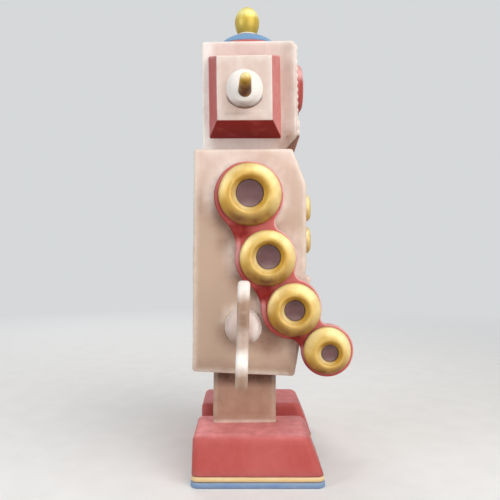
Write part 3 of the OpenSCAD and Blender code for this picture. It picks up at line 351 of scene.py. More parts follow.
LOOKS = {
    "body_paint": {"low_coat": ((192, 163, 141), 126, 162)},
    "red_paint": {"shine": 0.12},
    "gold_paint": {"gloss": 0.37, "metal": 0.22, "shine": 0.5, "blot": 11, "grain": 0.1},
    "lemon_paint": {"gloss": 0.37, "metal": 0.3, "shine": 0.6, "blot": 9, "grain": 0.1},
    "horn_paint": {"metal": 0.15, "blot": 9, "grain": 0.1},
    "sole_rubber": {"gloss": 0.62},
}
SLOTS = {"body_paint": "cream_paint", "leg_paint": "cream_paint", "key_paint": "cream_paint",
         "foot_paint": "red_paint", "lemon_paint": "gold_paint", "horn_paint": "gold_paint",
         "sole_rubber": "blue_rubber"}
finishes = {name: hand_paint(name, *tones, **LOOKS.get(name, {})) for name, tones in PAINTS.items()}
print(len(finishes), "paints")

# %% [markdown]
# ## Soft solids
# Most pieces are a flat outline given depth, with every edge rolled over by a millimetre or two. A Bevel
# modifier could round them, but it gives no hold on where paint wears. So the outline is drawn again and
# again, each time a little deeper or drawn in, and skinned like the ribs of a boat. Each ring of points is
# told how near an edge it lies: outward edges come out worn pale, and inward corners get painted shade, in
# the two numbers that the paint reads.

# %% Outlines
ARC = 6
NEAR = ((0.7, 0.35), (2.0, 0.08), (5.0, 0.0))
SHORT_RUN = 14.0
LEAST_RADIUS = 0.3


def quarter(steps, start=0.0):
    """Cosine and sine at even steps from a start angle to a right angle."""
    angles = [math.radians(start + (90 - start) * k / steps) for k in range(steps + 1)]
    return [(math.cos(angle), math.sin(angle)) for angle in angles]


def rounded_outline(corners, radii):
    """Gives a function that draws anticlockwise corners rounded, and drawn in by any inset.
    A point is (across, up, nearness): 1 on an outward corner, -1 in a hollow one, 0 far from both."""
    corners = [Vector(corner) for corner in corners]
    count = len(corners)
    radii = radii if isinstance(radii, list) else [radii] * count
    ways = [(corners[(i + 1) % count] - corners[i]).normalized() for i in range(count)]
    bends = [math.atan2(ways[i - 1].cross(ways[i]), ways[i - 1].dot(ways[i])) for i in range(count)]
    turns = [math.copysign(1.0, bend) for bend in bends]
    tans = [math.tan(abs(bend) / 2) for bend in bends]

    def run_shares(i):
        after = (i + 1) % count
        length = (corners[after] - corners[i]).length - radii[i] * tans[i] - radii[after] * tans[after]
        if length < SHORT_RUN:
            return [(0.5, 0.2 * (turns[i] + turns[after]))]
        start = [(gap / length, turns[i] * paleness) for gap, paleness in NEAR]
        return start + [(1 - gap / length, turns[after] * paleness) for gap, paleness in reversed(NEAR)]

    shares = [run_shares(i) for i in range(count)]

    def draw(inset=0.0):
        arcs = []
        for i in range(count):
            before, after = ways[i - 1], ways[i]
            inward = Vector((-before.y - after.y, before.x + after.x))
            tip = corners[i] + inward * inset / (1 + before.dot(after))
            radius = max(radii[i] - turns[i] * inset, LEAST_RADIUS)
            spoke = Vector((before.y, -before.x)) * radius * turns[i]
            middle = tip - before * radius * tans[i] - spoke
            steps = [Matrix.Rotation(bends[i] * k / ARC, 2) for k in range(ARC + 1)]
            arcs.append([middle + step @ spoke for step in steps])
        loop = []
        for i in range(count):
            end, start = arcs[i][-1], arcs[(i + 1) % count][0]
            loop += [(p.x, p.y, turns[i]) for p in arcs[i]]
            loop += [(*end.lerp(start, share), paleness) for share, paleness in shares[i]]
        return loop

    return draw


def box_corners(low_u, low_v, high_u, high_v):
    """The four corners of a rectangle, anticlockwise."""
    return [(low_u, low_v), (high_u, low_v), (high_u, high_v), (low_u, high_v)]


print("outlines have", ARC, "steps in each corner")

# %% Layers and skins
def soft_end(end, inward, edge, cap=NEAR, half=0.0):
    """Layers of (depth, inset, paleness, on the side?), from the middle of a flat end over its round edge and
    along the side as far as the solid's half."""
    layers = [(end, edge + gap, paleness, False) for gap, paleness in reversed(cap)]
    for c, s in quarter(ARC):
        layers.append((end + inward * edge * (1 - c), edge * (1 - s), 0.6 + 0.8 * s * c, True))
    return layers + [(end + inward * (edge + gap), 0.0, paleness, True) for gap, paleness in NEAR if edge + gap < half]


def soft_layers(low, high, edge_low, edge_high, cap=NEAR):
    """All layers of a solid between two flat ends with rolled edges."""
    half = (high - low) / 2
    return soft_end(low, 1, edge_low, cap, half) + soft_end(high, -1, edge_high, cap, half)[::-1]


def new_shape():
    """An empty mesh whose points carry two numbers for the paint: pale, for worn edges and painted
    highlights, and dark, for airbrushed brown and painted shade.
    """
    shape = bmesh.new()
    shape.verts.layers.float.new("wear")
    shape.verts.layers.float.new("wash")
    return shape


def skin(shape, rings, cap_low=True, cap_high=True, coats=None):
    """Joins rings of (place, pale, dark). A ring of one point is a pole. coats gives each strip a paint."""
    wear = shape.verts.layers.float["wear"]
    wash = shape.verts.layers.float["wash"]
    coats = coats or [0] * len(rings)
    rows = []
    for ring in rings:
        rows.append([shape.verts.new(place) for place, paleness, darkening in ring])
        for point, (place, paleness, darkening) in zip(rows[-1], ring):
            point[wear] = paleness
            point[wash] = darkening
    for low, high, coat in zip(rows, rows[1:], coats):
        count = max(len(low), len(high))
        for i in range(count):
            j = (i + 1) % count
            around = [low[i % len(low)], low[j % len(low)], high[j % len(high)], high[i % len(high)]]
            shape.faces.new(list(dict.fromkeys(around))).material_index = coat
    for wanted, row, coat in ((cap_low, rows[0], coats[0]), (cap_high, rows[-1], coats[-1])):
        if wanted and len(row) > 2:
            shape.faces.new(row).material_index = coat


def lofted(shape, draw, layers, place, **skinning):
    """Draws the outline at every layer and skins it. place turns (across, up, depth) into a point."""
    rings = []
    for depth, inset, paleness, on_side in layers:
        ring = []
        for across, up, near in draw(inset):
            near = near if on_side else 0.0
            # Outward corners come out worn pale; hollow corners get painted shade.
            ring.append((place(across, up, depth), max(paleness, near), max(-0.7 * near, 0.0)))
        rings.append(ring)
    skin(shape, rings, **skinning)


def turned(shape, profile, place, around=64, **skinning):
    """Turns a profile of (radius, height, pale, dark) about its axis, as on a lathe."""
    rings = []
    for radius, height, paleness, darkening in profile:
        turns = [math.tau * k / around for k in range(around if radius > SAME_SPOT else 1)]
        spokes = [(radius * math.cos(a), radius * math.sin(a)) for a in turns]
        rings.append([(place(*spoke, height), paleness, darkening) for spoke in spokes])
    skin(shape, rings, **skinning)


print("skins and lathe ready")

# %% [markdown]
# ## Placing and finishing a piece
# A piece is drawn flat and then stood up against the robot: on its side, on its front, or lying as it is.
# Where it is darkened or made pale is told next, by a rule that each point of the mesh is asked in turn:
# airbrushed brown, worn edges, painted shade and painted highlights all go in this way.
# The last step turns the faces outwards, or gives an open skin a wall, and tells the frame which body
# carries the piece, and which solids of the frame it stands for.

# %% Places and finishing
def across_robot(u, v, w):
    """A side outline in X and Z, given depth along Y."""
    return (u, w, v)


def upright(u, v, w):
    """A plan in X and Y, given height."""
    return (u, v, w)


def on_side(middle_x, middle_z, base, side):
    """A face on the robot's side: side is -1 on its right and 1 on its left."""
    return lambda u, v, w: (middle_x + u, side * (base + w), middle_z + v)


def on_front(base, middle_y=0.0, middle_z=0.0):
    """A face on the robot's front, in Y and Z, that stands out along X."""
    return lambda u, v, w: (base + w, middle_y + u, middle_z + v)


def from_side(p):
    """A point as it looks from the robot's side."""
    return Vector((p.x, p.z))


def ease(value, start, end):
    """0 at start and 1 at end, with a soft step between. Start may be the larger."""
    share = max(0.0, min(1.0, (value - start) / (end - start)))
    return share * share * (3 - 2 * share)


def repaint(shape, rule):
    """Asks a rule about every point: from its place, in mm, and its two numbers for the paint come the new
    two.
    """
    wear = shape.verts.layers.float["wear"]
    wash = shape.verts.layers.float["wash"]
    for point in shape.verts:
        point[wear], point[wash] = rule(point.co, point[wear], point[wash])


def by_hand(shape, amount=0.22, size=19.0):
    """Lets every edge wander a little, as on a piece finished by hand. Neighbours wander together."""
    for point in shape.verts:
        point.co += noise.noise_vector(point.co / size) * amount


def hand_over(piece, body, slot, *stands_for):
    """Tells the frame what carries a piece and what it stands for."""
    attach(piece, body)
    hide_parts(*stands_for)
    if body == "head":
        head_pieces.append(piece.name)
    print(piece.name, len(piece.data.polygons), "faces, rides on", body)


def make_piece(name, shape, paints, body, *stands_for, slot=None, wall=None):
    """Makes the object, paints it and hands it over. An open skin gets a wall, with its thickness inside."""
    if not wall:
        bmesh.ops.recalc_face_normals(shape, faces=shape.faces)
    piece = in_scene(name, meshed(name, shape))
    piece.data.polygons.foreach_set("use_smooth", [True] * len(piece.data.polygons))
    for paint in paints.split():
        piece.data.materials.append(finishes[paint])
    first = paints.split()[0]
    hand_over(piece, body, slot or SLOTS.get(first, first), *stands_for)
    if wall:
        sheet = piece.modifiers.new("wall", "SOLIDIFY")
        sheet.thickness = wall * MM
        sheet.offset = -1.0


SIDES = (("right", -1), ("left", 1))
TIN = 0.8
SAME_SPOT = 0.001
HAND_SEED = 7
noise.seed_set(HAND_SEED)
head_pieces = []
print("sides:", SIDES)

# %% [markdown]
# ## Where the arms' rings sit
# Each arm is a chain of four rings from the shoulder down. Their places come first, because the painted
# shadow behind the arms, partly airbrushed brown, follows them. The photographed rings are uneven, as cast
# by hand: each is nudged off its drawn place and its hole sits off its middle. The left arm hangs further
# back than the right one.

# %% Ring sizes and places
RING_R = (15.5, 13.6, 12.9, 11.8)
RING_GROW = (0.0, 0.2, 0.25, -0.25)
RING_HOLE = (6.85, 6.05, 5.1, 4.25)
RING_NUDGE = ((-0.2, -0.35), (-0.2, -1.0), (0.05, 0.0), (-0.75, 0.7))
HOLE_OFF = ((-0.15, 0.55), (0.4, 0.55), (0.35, -0.3), (1.25, -1.4))
RING_GAP = (2.7, 2.7, 1.9)
RING_WAY = (-74.2, -64.4, -50.2)
RING_SKIRT = 1.2
LEFT_HANGS_BACK = 13.0


def shifted(spots, offs):
    """Spots with a small step added to each."""
    return [spot + Vector(off) for spot, off in zip(spots, offs)]


shoulder = pivots["arm_right_swing"]
ring_spots = [from_side(shoulder)]
for k in range(3):
    way = math.radians(RING_WAY[k])
    step = RING_R[k] + RING_R[k + 1] + RING_GAP[k]
    ring_spots.append(ring_spots[k] + Vector((math.cos(way), math.sin(way))) * step)
ring_spots = shifted(ring_spots, RING_NUDGE)
hole_spots = shifted(ring_spots, HOLE_OFF)
gold_radii = [radius + grow for radius, grow in zip(RING_R, RING_GROW)]
hang_back = Matrix.Rotation(-math.radians(LEFT_HANGS_BACK), 2)


def hung(spot, side):
    """A point of the arms as drawn on the right: the left arm hangs further back."""
    middle = ring_spots[0]
    return spot if side < 0 else middle + hang_back @ (spot - middle)


print("rings at", [tuple(round(part, 1) for part in spot) for spot in ring_spots])

# %% [markdown]
# ## Body casing
# The body is one box of pressed tin. Its top front leans back as a shoulder, and the belly swells out to a
# ledge below the chest. It is open at the back, for a cover, and below, for the legs.
# The side outline is drawn once and skinned from one side of the robot to the other. The faces of the two
# openings are then taken away, and a Solidify modifier gives what is left the thickness of tin.
# The big flat sides are scored into a grid: without points inside them, paint could only change at the rim.

# %% Body casing
EDGE = 1.6
LEDGE_EDGE = 1.4
SKIRT_DROP = 0.6
LEDGE_UNDER_PANEL = 3.8
LEDGE_OUT = 2.8
LEDGE_FALL = 1.54
SHOULDER_BACK = 6.75
BELLY_WALL = 0.9
BODY_RISE = 0.45
GRID = 3.0

body_low, body_high = corners_of("body_shell")
panel_low, panel_high = corners_of("chest_panel")
base_low, base_high = corners_of("base_plate")
body_half = body_high.y
body_top = body_high.z + BODY_RISE
ledge_z = panel_low.z - LEDGE_UNDER_PANEL
body_side = [
    (body_low.x, base_low.z - SKIRT_DROP),
    (base_high.x + BELLY_WALL, body_low.z - SKIRT_DROP),
    (panel_low.x + LEDGE_OUT, ledge_z),
    (panel_low.x, ledge_z + LEDGE_FALL),
    (panel_low.x, panel_high.z),
    (panel_low.x - SHOULDER_BACK, body_top),
    (body_low.x, body_top),
]
body_outline = rounded_outline(body_side, [EDGE, EDGE, LEDGE_EDGE, LEDGE_EDGE, EDGE, EDGE, EDGE])
body = new_shape()
lofted(body, body_outline, soft_layers(-body_half, body_half, EDGE, EDGE, NEAR[:2]), across_robot)


def score(shape, axis, first, last, step):
    """Cuts a shape across at even steps along X (0), Y (1) or Z (2)."""
    way = Vector([float(k == axis) for k in range(3)])
    for k in range(int((last - first) / step) + 1):
        everything = shape.verts[:] + shape.edges[:] + shape.faces[:]
        bmesh.ops.bisect_plane(shape, geom=everything, plane_co=way * (first + k * step), plane_no=way)


def open_up(shape, in_opening):
    """Turns the faces outwards and takes away those in an opening."""
    bmesh.ops.recalc_face_normals(shape, faces=shape.faces)
    faces = [face for face in shape.faces if in_opening(face.calc_center_median())]
    bmesh.ops.delete(shape, geom=faces, context="FACES")


def in_body_opening(p):
    """True where the back cover and the base plate go."""
    at_back = p.x < body_low.x + 0.02 and p.z < body_high.z - EDGE
    underneath = p.z < base_low.z and p.x < base_high.x - EDGE
    return abs(p.y) <= body_half - EDGE and (at_back or underneath)


open_up(body, in_body_opening)
score(body, 2, body_low.z + 4, body_high.z - 4, GRID)
score(body, 0, body_low.x + 4, panel_low.x - 3, GRID)
print("body skin of", len(body.faces), "faces")

# %% The body's paint
RIM_BACK = 0.6
RIM_SPREAD = 0.7
BELLY_SPOT = (19.0, 93.0)
# WEB_SPOT and KEY_SHADE are the middles of two patches of painted shadow: under the arm's first hollow, and
# between the arm and the key.
WEB_SPOT = Vector((-10.0, 119.0))
SMUDGE_Z = 139.0
KEY_SHADE = Vector((9.0, 72.0))

key_axis = pivots["key_wind"]


def toward(way, across, up):
    """How far a direction agrees with another, -1 to 1."""
    return way.dot(Vector((across, up)))


def body_rule(p, wear, wash):
    """Darker low on the casing. On the sides: painted shadow of the arms behind and below them, partly
    airbrushed brown, painted shade on the belly's front and round the key, and a smudge near the back; pale
    in front of the arms, with painted light in halos above the arms and the key. The casing also spreads a
    little towards its back."""
    flat, right = from_side(p), p.y < 0
    wash = max(wash, 0.7 * ease(p.z, body_low.z + 12, body_low.z))
    ways = [flat - hung(spot, -1 if right else 1) for spot in ring_spots]
    gap, k = min((way.length - RING_R[k], k) for k, way in enumerate(ways))
    way = ways[k].normalized()
    off_key = flat - from_side(key_axis)
    from_key, key_way = off_key.length, off_key.normalized()
    if abs(p.y) >= body_half - 0.5:
        # Painted shade on the belly's front, painted shadow of the arm, partly airbrushed brown, a smudge
        # near the back, and painted shade between the arm and the key and round the key boss.
        belly = 0.9 * ease(p.x, 16, 26) * ease(p.z, 94, 82)
        arm = 0.75 * ease(gap, 11, 3) * ease(toward(way, -0.65, -0.76), 0.75, 0.98)
        web = 0.6 * ease((flat - hung(WEB_SPOT, -1 if right else 1)).length, 9, 2)
        smudge = 0.3 * ease(abs(p.z - SMUDGE_Z), 10, 3) * ease(p.x - body_low.x, 14, 6)
        key = 0.85 * ease((flat - KEY_SHADE).length, 14, 3)
        round_key = 0.6 * ease(from_key, 16, 9) * ease(toward(key_way, -0.9, -0.44), 0.2, 0.8)
        wash = max(wash, belly, arm, web, smudge, right * key, right * round_key)
    if abs(p.y) > body_half - EDGE:
        # A pale line along the arm's front edge and a pale strip in front of the arm; painted light in a halo
        # above the arm and over the key boss.
        rim = 1.3 * ease(gap, 5.5, 2) * ease(way.x, 0.2, 0.7)
        halo = 1.5 * ease(gap, 10, 2) * ease(toward(way, -0.8, 0.6), 0.2, 0.8)
        strip = 1.1 * ease(p.x, 17, 24) * ease(p.z, 134, 118) * ease(p.z, 93, 99)
        over_key = 1.1 * ease(from_key, 15, 9) * ease(toward(key_way, -0.55, 0.83), 0.4, 0.95)
        wear = max(wear, rim, halo, strip, right * over_key)
    if p.x > BELLY_SPOT[0] and p.z < BELLY_SPOT[1]:
        wear *= 0.3
    p.x -= ease(p.x, 0, body_low.x) * (RIM_BACK + RIM_SPREAD * ease(p.z, body_high.z, body_low.z))
    return wear, wash


repaint(body, body_rule)
by_hand(body)
make_piece("body_casing", body, "body_paint", "trunk", "body_shell", wall=TIN)

# %% [markdown]
# ## Back cover and base plate
# A cover with a raised field closes the back, and a plate with a slot for each leg closes the base. The
# photograph shows neither, so they are as plain as such covers are. The cover is the same kind of loft:
# its layers step in and out to press the field. The plate is a sheet cut along straight lines, with the
# cells of the two slots left out.

# %% Back cover
COVER_GAP = 0.2
FIELD_INSET = 11.0

cover_reach = body_half - EDGE - COVER_GAP
cover_box = box_corners(-cover_reach, base_low.z + EDGE + COVER_GAP, cover_reach, body_top - EDGE - COVER_GAP)
cover_layers = [
    (0.0, 6.0, 0.0, False), (0.0, 0.3, 0.0, False), (-0.15, 0.0, 0.6, True), (-0.6, 0.0, 0.8, True),
    (-TIN, 0.3, 0.8, True), (-TIN, 1.4, 0.3, False), (-TIN, FIELD_INSET - 1.2, 0.0, False),
    (-TIN - 0.2, FIELD_INSET - 0.4, 0.1, False), (-2 * TIN + 0.2, FIELD_INSET + 0.4, 0.5, False),
    (-2 * TIN, FIELD_INSET + 1.2, 0.5, False), (-2 * TIN, FIELD_INSET + 4.0, 0.0, False),
]
cover = new_shape()
lofted(cover, rounded_outline(cover_box, 2.0), cover_layers, on_front(body_low.x + TIN))
repaint(cover, lambda p, wear, wash: (wear, max(wash, 0.4 * ease(p.z, base_low.z + 16, base_low.z))))
make_piece("back_cover", cover, "body_paint", "trunk", "rear_cover")

# %% Base plate
SLOT_GAP = 1.6
INNER_GAP = 0.3
TUBE_HALF = 16.3
BASE_THICK = 1.0

tube_low, tube_high = corners_of("leg_right")
tube_x = pivots["leg_right_swing"].x
tube_in, tube_out = -tube_high.y, -tube_low.y
slot_half = TUBE_HALF + SLOT_GAP
x_cuts = [body_low.x + EDGE, tube_x - slot_half, tube_x + slot_half, base_high.x - EDGE]
y_cuts = [tube_in - INNER_GAP, tube_out + SLOT_GAP, cover_reach]
y_cuts = [-y for y in reversed(y_cuts)] + y_cuts
plate = new_shape()
grid = [[plate.verts.new((x, y, base_low.z)) for y in y_cuts] for x in x_cuts]
for i in range(len(x_cuts) - 1):
    for j in range(len(y_cuts) - 1):
        if i != 1 or j not in (1, 3):
            plate.faces.new((grid[i][j], grid[i][j + 1], grid[i + 1][j + 1], grid[i + 1][j]))
make_piece("base_plate_sheet", plate, "body_paint", "trunk", "base_plate", wall=BASE_THICK)

# %% [markdown]
# ## Screws
# Twelve slotted screws hold the cover, the base and the motor. One screw head is modelled as a small dome
# with a slot, and Geometry Nodes put a copy of it on every seat. The tree reads the seats' points and a
# "facing" direction, which turns each copy out from its surface.

# %% Geometry Nodes helpers
def geometry_tree(title, **inputs):
    """A new tree with geometry in and out, and named inputs of the kinds given."""
    tree = bpy.data.node_groups.new(title, "GeometryNodeTree")
    tree.interface.new_socket("Geometry", in_out="OUTPUT", socket_type="NodeSocketGeometry")
    for label, kind in {"Geometry": "Geometry", **inputs}.items():
        tree.interface.new_socket(label, in_out="INPUT", socket_type="NodeSocket" + kind)
    outputs = tree.nodes.new("NodeGroupInput").outputs
    return tree, {output.name: Number(output) for output in outputs if output.name}


def copied(tree, points, instance, **more):
    """Copies of an instance on points."""
    return add_node(tree, "GeometryNodeInstanceOnPoints", points, Instance=instance, **more)


def close_tree(tree, geometry, material):
    """Ends a tree: copies become real faces and take the material."""
    solid = add_node(tree, "GeometryNodeRealizeInstances", geometry)
    add_node(tree, "NodeGroupOutput", add_node(tree, "GeometryNodeSetMaterial", solid, Material=material))


def seat_mesh(name, spots, **numbers):
    """A mesh of bare points, in millimetres, with numbers or directions stored on each."""
    mesh = bpy.data.meshes.new(name)
    mesh.from_pydata([Vector(spot) * MM for spot in spots], [], [])
    for title, values in numbers.items():
        kind, key = ("FLOAT_VECTOR", "vector") if isinstance(values[0], tuple) else ("FLOAT", "value")
        for item, value in zip(mesh.attributes.new(title, kind, "POINT").data, values):
            setattr(item, key, value)
    return mesh


def grown(name, seats, tree, **values):
    """Runs a tree on the seats and keeps the result as a plain mesh with outward faces."""
    piece = in_scene(name, seats)
    growth = piece.modifiers.new("growth", "NODES")
    growth.node_group = tree
    for socket in tree.interface.items_tree:
        if socket.in_out == "INPUT" and socket.name in values:
            growth[socket.identifier] = values[socket.name]
    result = piece.evaluated_get(bpy.context.evaluated_depsgraph_get())
    mesh = bpy.data.meshes.new_from_object(result)
    piece.modifiers.remove(growth)
    shape = bmesh.new()
    shape.from_mesh(mesh)
    bmesh.ops.remove_doubles(shape, verts=shape.verts, dist=2 * SAME_SPOT * MM)
    bmesh.ops.recalc_face_normals(shape, faces=shape.faces)
    shape.to_mesh(mesh)
    shape.free()
    mesh.polygons.foreach_set("use_smooth", [True] * len(mesh.polygons))
    mesh.name = name
    piece.data = mesh
    bpy.data.meshes.remove(seats)
    return piece


print("tree helpers ready")

# %% Metal finishes
def metal_finish(name, bright, dull, rough=0.3):
    """Bare metal with fine brushing, darker clouds and a few duller patches."""
    material, tree, place = new_finish(name)
    brushing = speckle(add_node(tree, "ShaderNodeMapping", place, Scale=(0.08, 1.0, 1.0)), 0.5, 3)
    stain = speckle(place, 6, 5).ranged(0.42, 0.7)
    colour = brushing.ranged(0.3, 0.7).mixed(tint(*bright), tint(*dull))
    colour = (stain * 0.7).mixed(colour, tint(*[part * 0.72 for part in dull]))
    polish = stain.ranged(0.0, 1.0, rough, rough + 0.2)
    surface(tree, brushing, 0.2, 0.05, Base_Color=colour, Metallic=1.0, Roughness=polish)
    return material


brass_metal = metal_finish("brass_metal", (212, 176, 104), (186, 148, 82))
steel_metal = metal_finish("steel_metal", (188, 190, 194), (160, 163, 168))
print("brass and steel ready")

# %% One screw head
SCREW_R = 2.0
SCREW_RISE = 0.8
SCREW_SLOT = 0.3
SCREW_DEEP = 0.5
SCREW_FLOOR = -0.1

rows = [(2.0, 0), (1.6, 0), (1.0, 0), (SCREW_SLOT, 0), (SCREW_SLOT, 1)]
rows = [(-y, deep) for y, deep in rows] + rows[::-1]
screw = bmesh.new()
head = []
for y, deep in rows:
    chord = math.sqrt(max(SCREW_R ** 2 - y ** 2, 0.0))
    line = []
    for k in range(9):
        x = chord * math.sin(math.radians(-90 + 22.5 * k))
        rise = SCREW_RISE * (1 - (x * x + y * y) / SCREW_R ** 2)
        line.append(screw.verts.new((x, y, max(rise - deep * SCREW_DEEP, SCREW_FLOOR / 2))))
    head.append(line)
for low, high in zip(head, head[1:]):
    for k in range(8):
        screw.faces.new((low[k], low[k + 1], high[k + 1], high[k]))
rim = [line[0] for line in head] + [line[8] for line in head[::-1]]
foot = {point: screw.verts.new((point.co.x, point.co.y, SCREW_FLOOR)) for point in rim}
for first, second in zip(rim, rim[1:] + rim[:1]):
    screw.faces.new((first, second, foot[second], foot[first]))
screw.faces.new([foot[point] for point in rim])
bmesh.ops.remove_doubles(screw, verts=screw.verts, dist=SAME_SPOT)
screw_pattern = bpy.data.objects.new("screw_pattern", meshed("screw_pattern", screw))
print("screw head of", len(screw_pattern.data.polygons), "faces")

# %% Screws on their seats
SCREW_FROM_SIDE = 3.3
SCREW_FROM_END = 12.0
MOTOR_SCREW_X = (-16.98, 9.34)
MOTOR_SCREW_Y = 7.0

tree, inputs = geometry_tree("slotted_screws", Pattern="Object", Material="Material")
pattern = add_node(tree, "GeometryNodeObjectInfo", Object=inputs["Pattern"], As_Instance=True,
                   pick="Geometry")
facing = add_node(tree, "GeometryNodeInputNamedAttribute", "facing", data_type="FLOAT_VECTOR")
turn = add_node(tree, "FunctionNodeAlignRotationToVector", Vector=facing, axis="Z")
close_tree(tree, copied(tree, inputs["Geometry"], pattern, Rotation=turn), inputs["Material"])

BACKWARD = (-1.0, 0.0, 0.0)
DOWNWARD = (0.0, 0.0, -1.0)
seats = []
for side in (-1, 1):
    y = side * (body_half - SCREW_FROM_SIDE)
    for z in (base_low.z + SCREW_FROM_END, body_high.z - SCREW_FROM_END):
        seats.append(((body_low.x, y, z), BACKWARD))
    for x in (body_low.x + SCREW_FROM_END, base_high.x + BELLY_WALL - SCREW_FROM_END):
        seats.append(((x, y, base_low.z), DOWNWARD))
    for x in MOTOR_SCREW_X:
        seats.append(((x, side * MOTOR_SCREW_Y, base_low.z), DOWNWARD))
seats = seat_mesh("screw_seats", [spot for spot, way in seats], facing=[way for spot, way in seats])
screws = grown("cover_screws", seats, tree, Pattern=screw_pattern, Material=steel_metal)
bpy.data.objects.remove(screw_pattern)
hand_over(screws, "trunk", "steel", "casing_screws")

# %% [markdown]
# ## Gold rings
# The arms carry four gold rings each, and the chest carries four small ones as dial bezels. They all follow
# one rule: on a short skirt, a crest that slopes out to the edge and into the hole. Geometry Nodes draw it. A
# grid is copied to every seat and bent into a ring by the seat's own outer radius, hole and the hole's
# shift, so one tree makes all twelve.
# The same tree stores painted shade on the faces of each ring turned down, with a thin line of it where the
# ring sits, and painted highlights: a lit side up to the right, a painted reflection up to the left and a
# pale crest. It can, because it knows which way is down.

# %% The ring tree
RING_AROUND = 96
RING_OVER = 28

ring_tree, inputs = geometry_tree("pressed_rings", Skirt="Float", Across="Vector", Up="Vector", Out="Vector",
                                  Crest="Float", Spray="Float", Material="Material")


def field(title, kind="FLOAT"):
    """A number or direction that a seat or a grid carries."""
    return add_node(ring_tree, "GeometryNodeInputNamedAttribute", title, data_type=kind)


def keep(geometry, title, value, kind="FLOAT"):
    """Stores a number or direction on the points for later."""
    return add_node(ring_tree, "GeometryNodeStoreNamedAttribute", geometry, Name=title, Value=value,
                    data_type=kind, domain="POINT")


def vectors(operation, first, *others, **more):
    """One step of arithmetic between directions."""
    return add_node(ring_tree, "ShaderNodeVectorMath", first, *others, operation=operation, **more)


place = add_node(ring_tree, "GeometryNodeInputPosition")
grid = add_node(ring_tree, "GeometryNodeMeshGrid", math.tau, math.tau, RING_AROUND + 1, RING_OVER + 1)
for title, axis in (("around", "X"), ("over", "Y")):
    grid = keep(grid, title, add_node(ring_tree, "ShaderNodeSeparateXYZ", place, pick=axis))
seat = keep(inputs["Geometry"], "seat", place, "FLOAT_VECTOR")
rings = add_node(ring_tree, "GeometryNodeRealizeInstances", copied(ring_tree, seat, grid))

rise = field("over").math("SINE")
reach = field("over").math("COSINE")
fall = reach.most(0.0).math("POWER", 1.5) * 0.72 + (reach * -0.78).most(0.0)
above = rise.least(1.0 - fall).most(0.0)
below = (rise.least(0.0) * -2.5).least(1.0)
flat = (reach * 1.35).most(-1.0).least(1.0)
wide = reach + (flat - reach) * rise.math("LESS_THAN", 0.0)
width = field("outer") - field("hole")
inner = width * inputs["Crest"]
radius = field("hole") + inner + (width - inner) * wide.most(0.0) + inner * wide.least(0.0)
height = inputs["Skirt"] * (1.0 - below) + width * 0.5 * above
east = field("around").math("COSINE")
north = field("around").math("SINE")
spot = field("seat", "FLOAT_VECTOR")
for way, amount in ((inputs["Across"], radius * east), (inputs["Up"], radius * north),
                    (inputs["Out"], height),
                    (field("shift", "FLOAT_VECTOR"), (field("outer") - radius) / width)):
    spot = vectors("ADD", spot, vectors("SCALE", way, Scale=amount))
rings = add_node(ring_tree, "GeometryNodeSetPosition", rings, Position=spot)

# Painted highlight on the side up to the right, painted reflection up to the left, a pale crest; painted
# shade on the faces turned down and in a thin line where the ring sits.
lit = ((east * 0.75 + north * 0.65) * reach.ranged(-0.55, 0.55, -1.0, 1.0)).most(0.0)
sheen = ((north - east) * 0.7).ranged(0.45, 1.0) * reach.ranged(0.05, 0.7)
shaded = north * -0.95 * reach.ranged(-0.55, 0.55, -0.6, 1.0)
foot_line = above.math("LESS_THAN", 0.15)
rings = keep(rings, "wash", shaded.most(foot_line) * inputs["Spray"])
rings = keep(rings, "wear", (lit * 1.25).most(sheen).most(above.math("POWER", 8.0) * 0.3))
close_tree(ring_tree, rings, inputs["Material"])
print("ring tree of", len(ring_tree.nodes), "nodes")

# %% Rings on the arms
ARM_CREST = 0.31

arm_low, arm_high = corners_of("arm_left")
for side_name, side in SIDES:
    spots = [hung(spot, side) for spot in ring_spots]
    offs = [hung(hole, side) - spot for spot, hole in zip(spots, hole_spots)]
    seats = seat_mesh("ring_seats", [(spot.x, side * arm_high.y, spot.y) for spot in spots],
                      outer=[r * MM for r in gold_radii], hole=[r * MM for r in RING_HOLE],
                      shift=[(off.x * MM, 0.0, off.y * MM) for off in offs])
    rings = grown("gold_rings_" + side_name, seats, ring_tree, Skirt=RING_SKIRT * MM, Across=(1, 0, 0),
                  Up=(0, 0, 1), Out=(0, side, 0), Crest=ARM_CREST, Spray=1.0, Material=finishes["gold_paint"])
    hand_over(rings, "arm_" + side_name, "gold_paint", "arm_rings_" + side_name)

# %% [markdown]
# ## Arms
# Each arm is a red pressed tray with four round seats that flow into each other through small hollows. Its
# outline is made of arcs only: outward ones round the discs and inward ones in the hollows. Drawn in by a
# millimetre, the outward arcs shrink and the inward ones grow by as much, so the loft stays even.
# The layers go up inside the tray, over its rim and round the outer edge, which makes it hollow in one go.

# %% Arm outline
ARM_MARGIN = (1.8, 1.6, 1.9, 1.4)
SEAT_OFF = ((-0.55, -0.6), (-0.8, -0.2), (-1.2, 0.4), (0.3, -0.4))
FRONT_WEB = (4.5, 4.5, 3.0)
BACK_WEB = (18.0, 16.0, 6.0)

seat_spots = shifted(ring_spots, SEAT_OFF)
seat_radii = [radius + margin for radius, margin in zip(gold_radii, ARM_MARGIN)]


def way_to(start, end):
    """The direction from one point to another, as an angle."""
    return math.atan2(end.y - start.y, end.x - start.x)


def arc_points(middle, radius, start, end, ahead, near):
    """Points along an arc, about every six degrees; ahead is 1 anticlockwise and -1 clockwise."""
    sweep = (end - start) * ahead % math.tau * ahead
    steps = max(4, round(abs(sweep) / math.radians(6)))
    angles = [start + sweep * k / steps for k in range(1, steps)]
    return [(middle.x + radius * math.cos(a), middle.y + radius * math.sin(a), near) for a in angles]


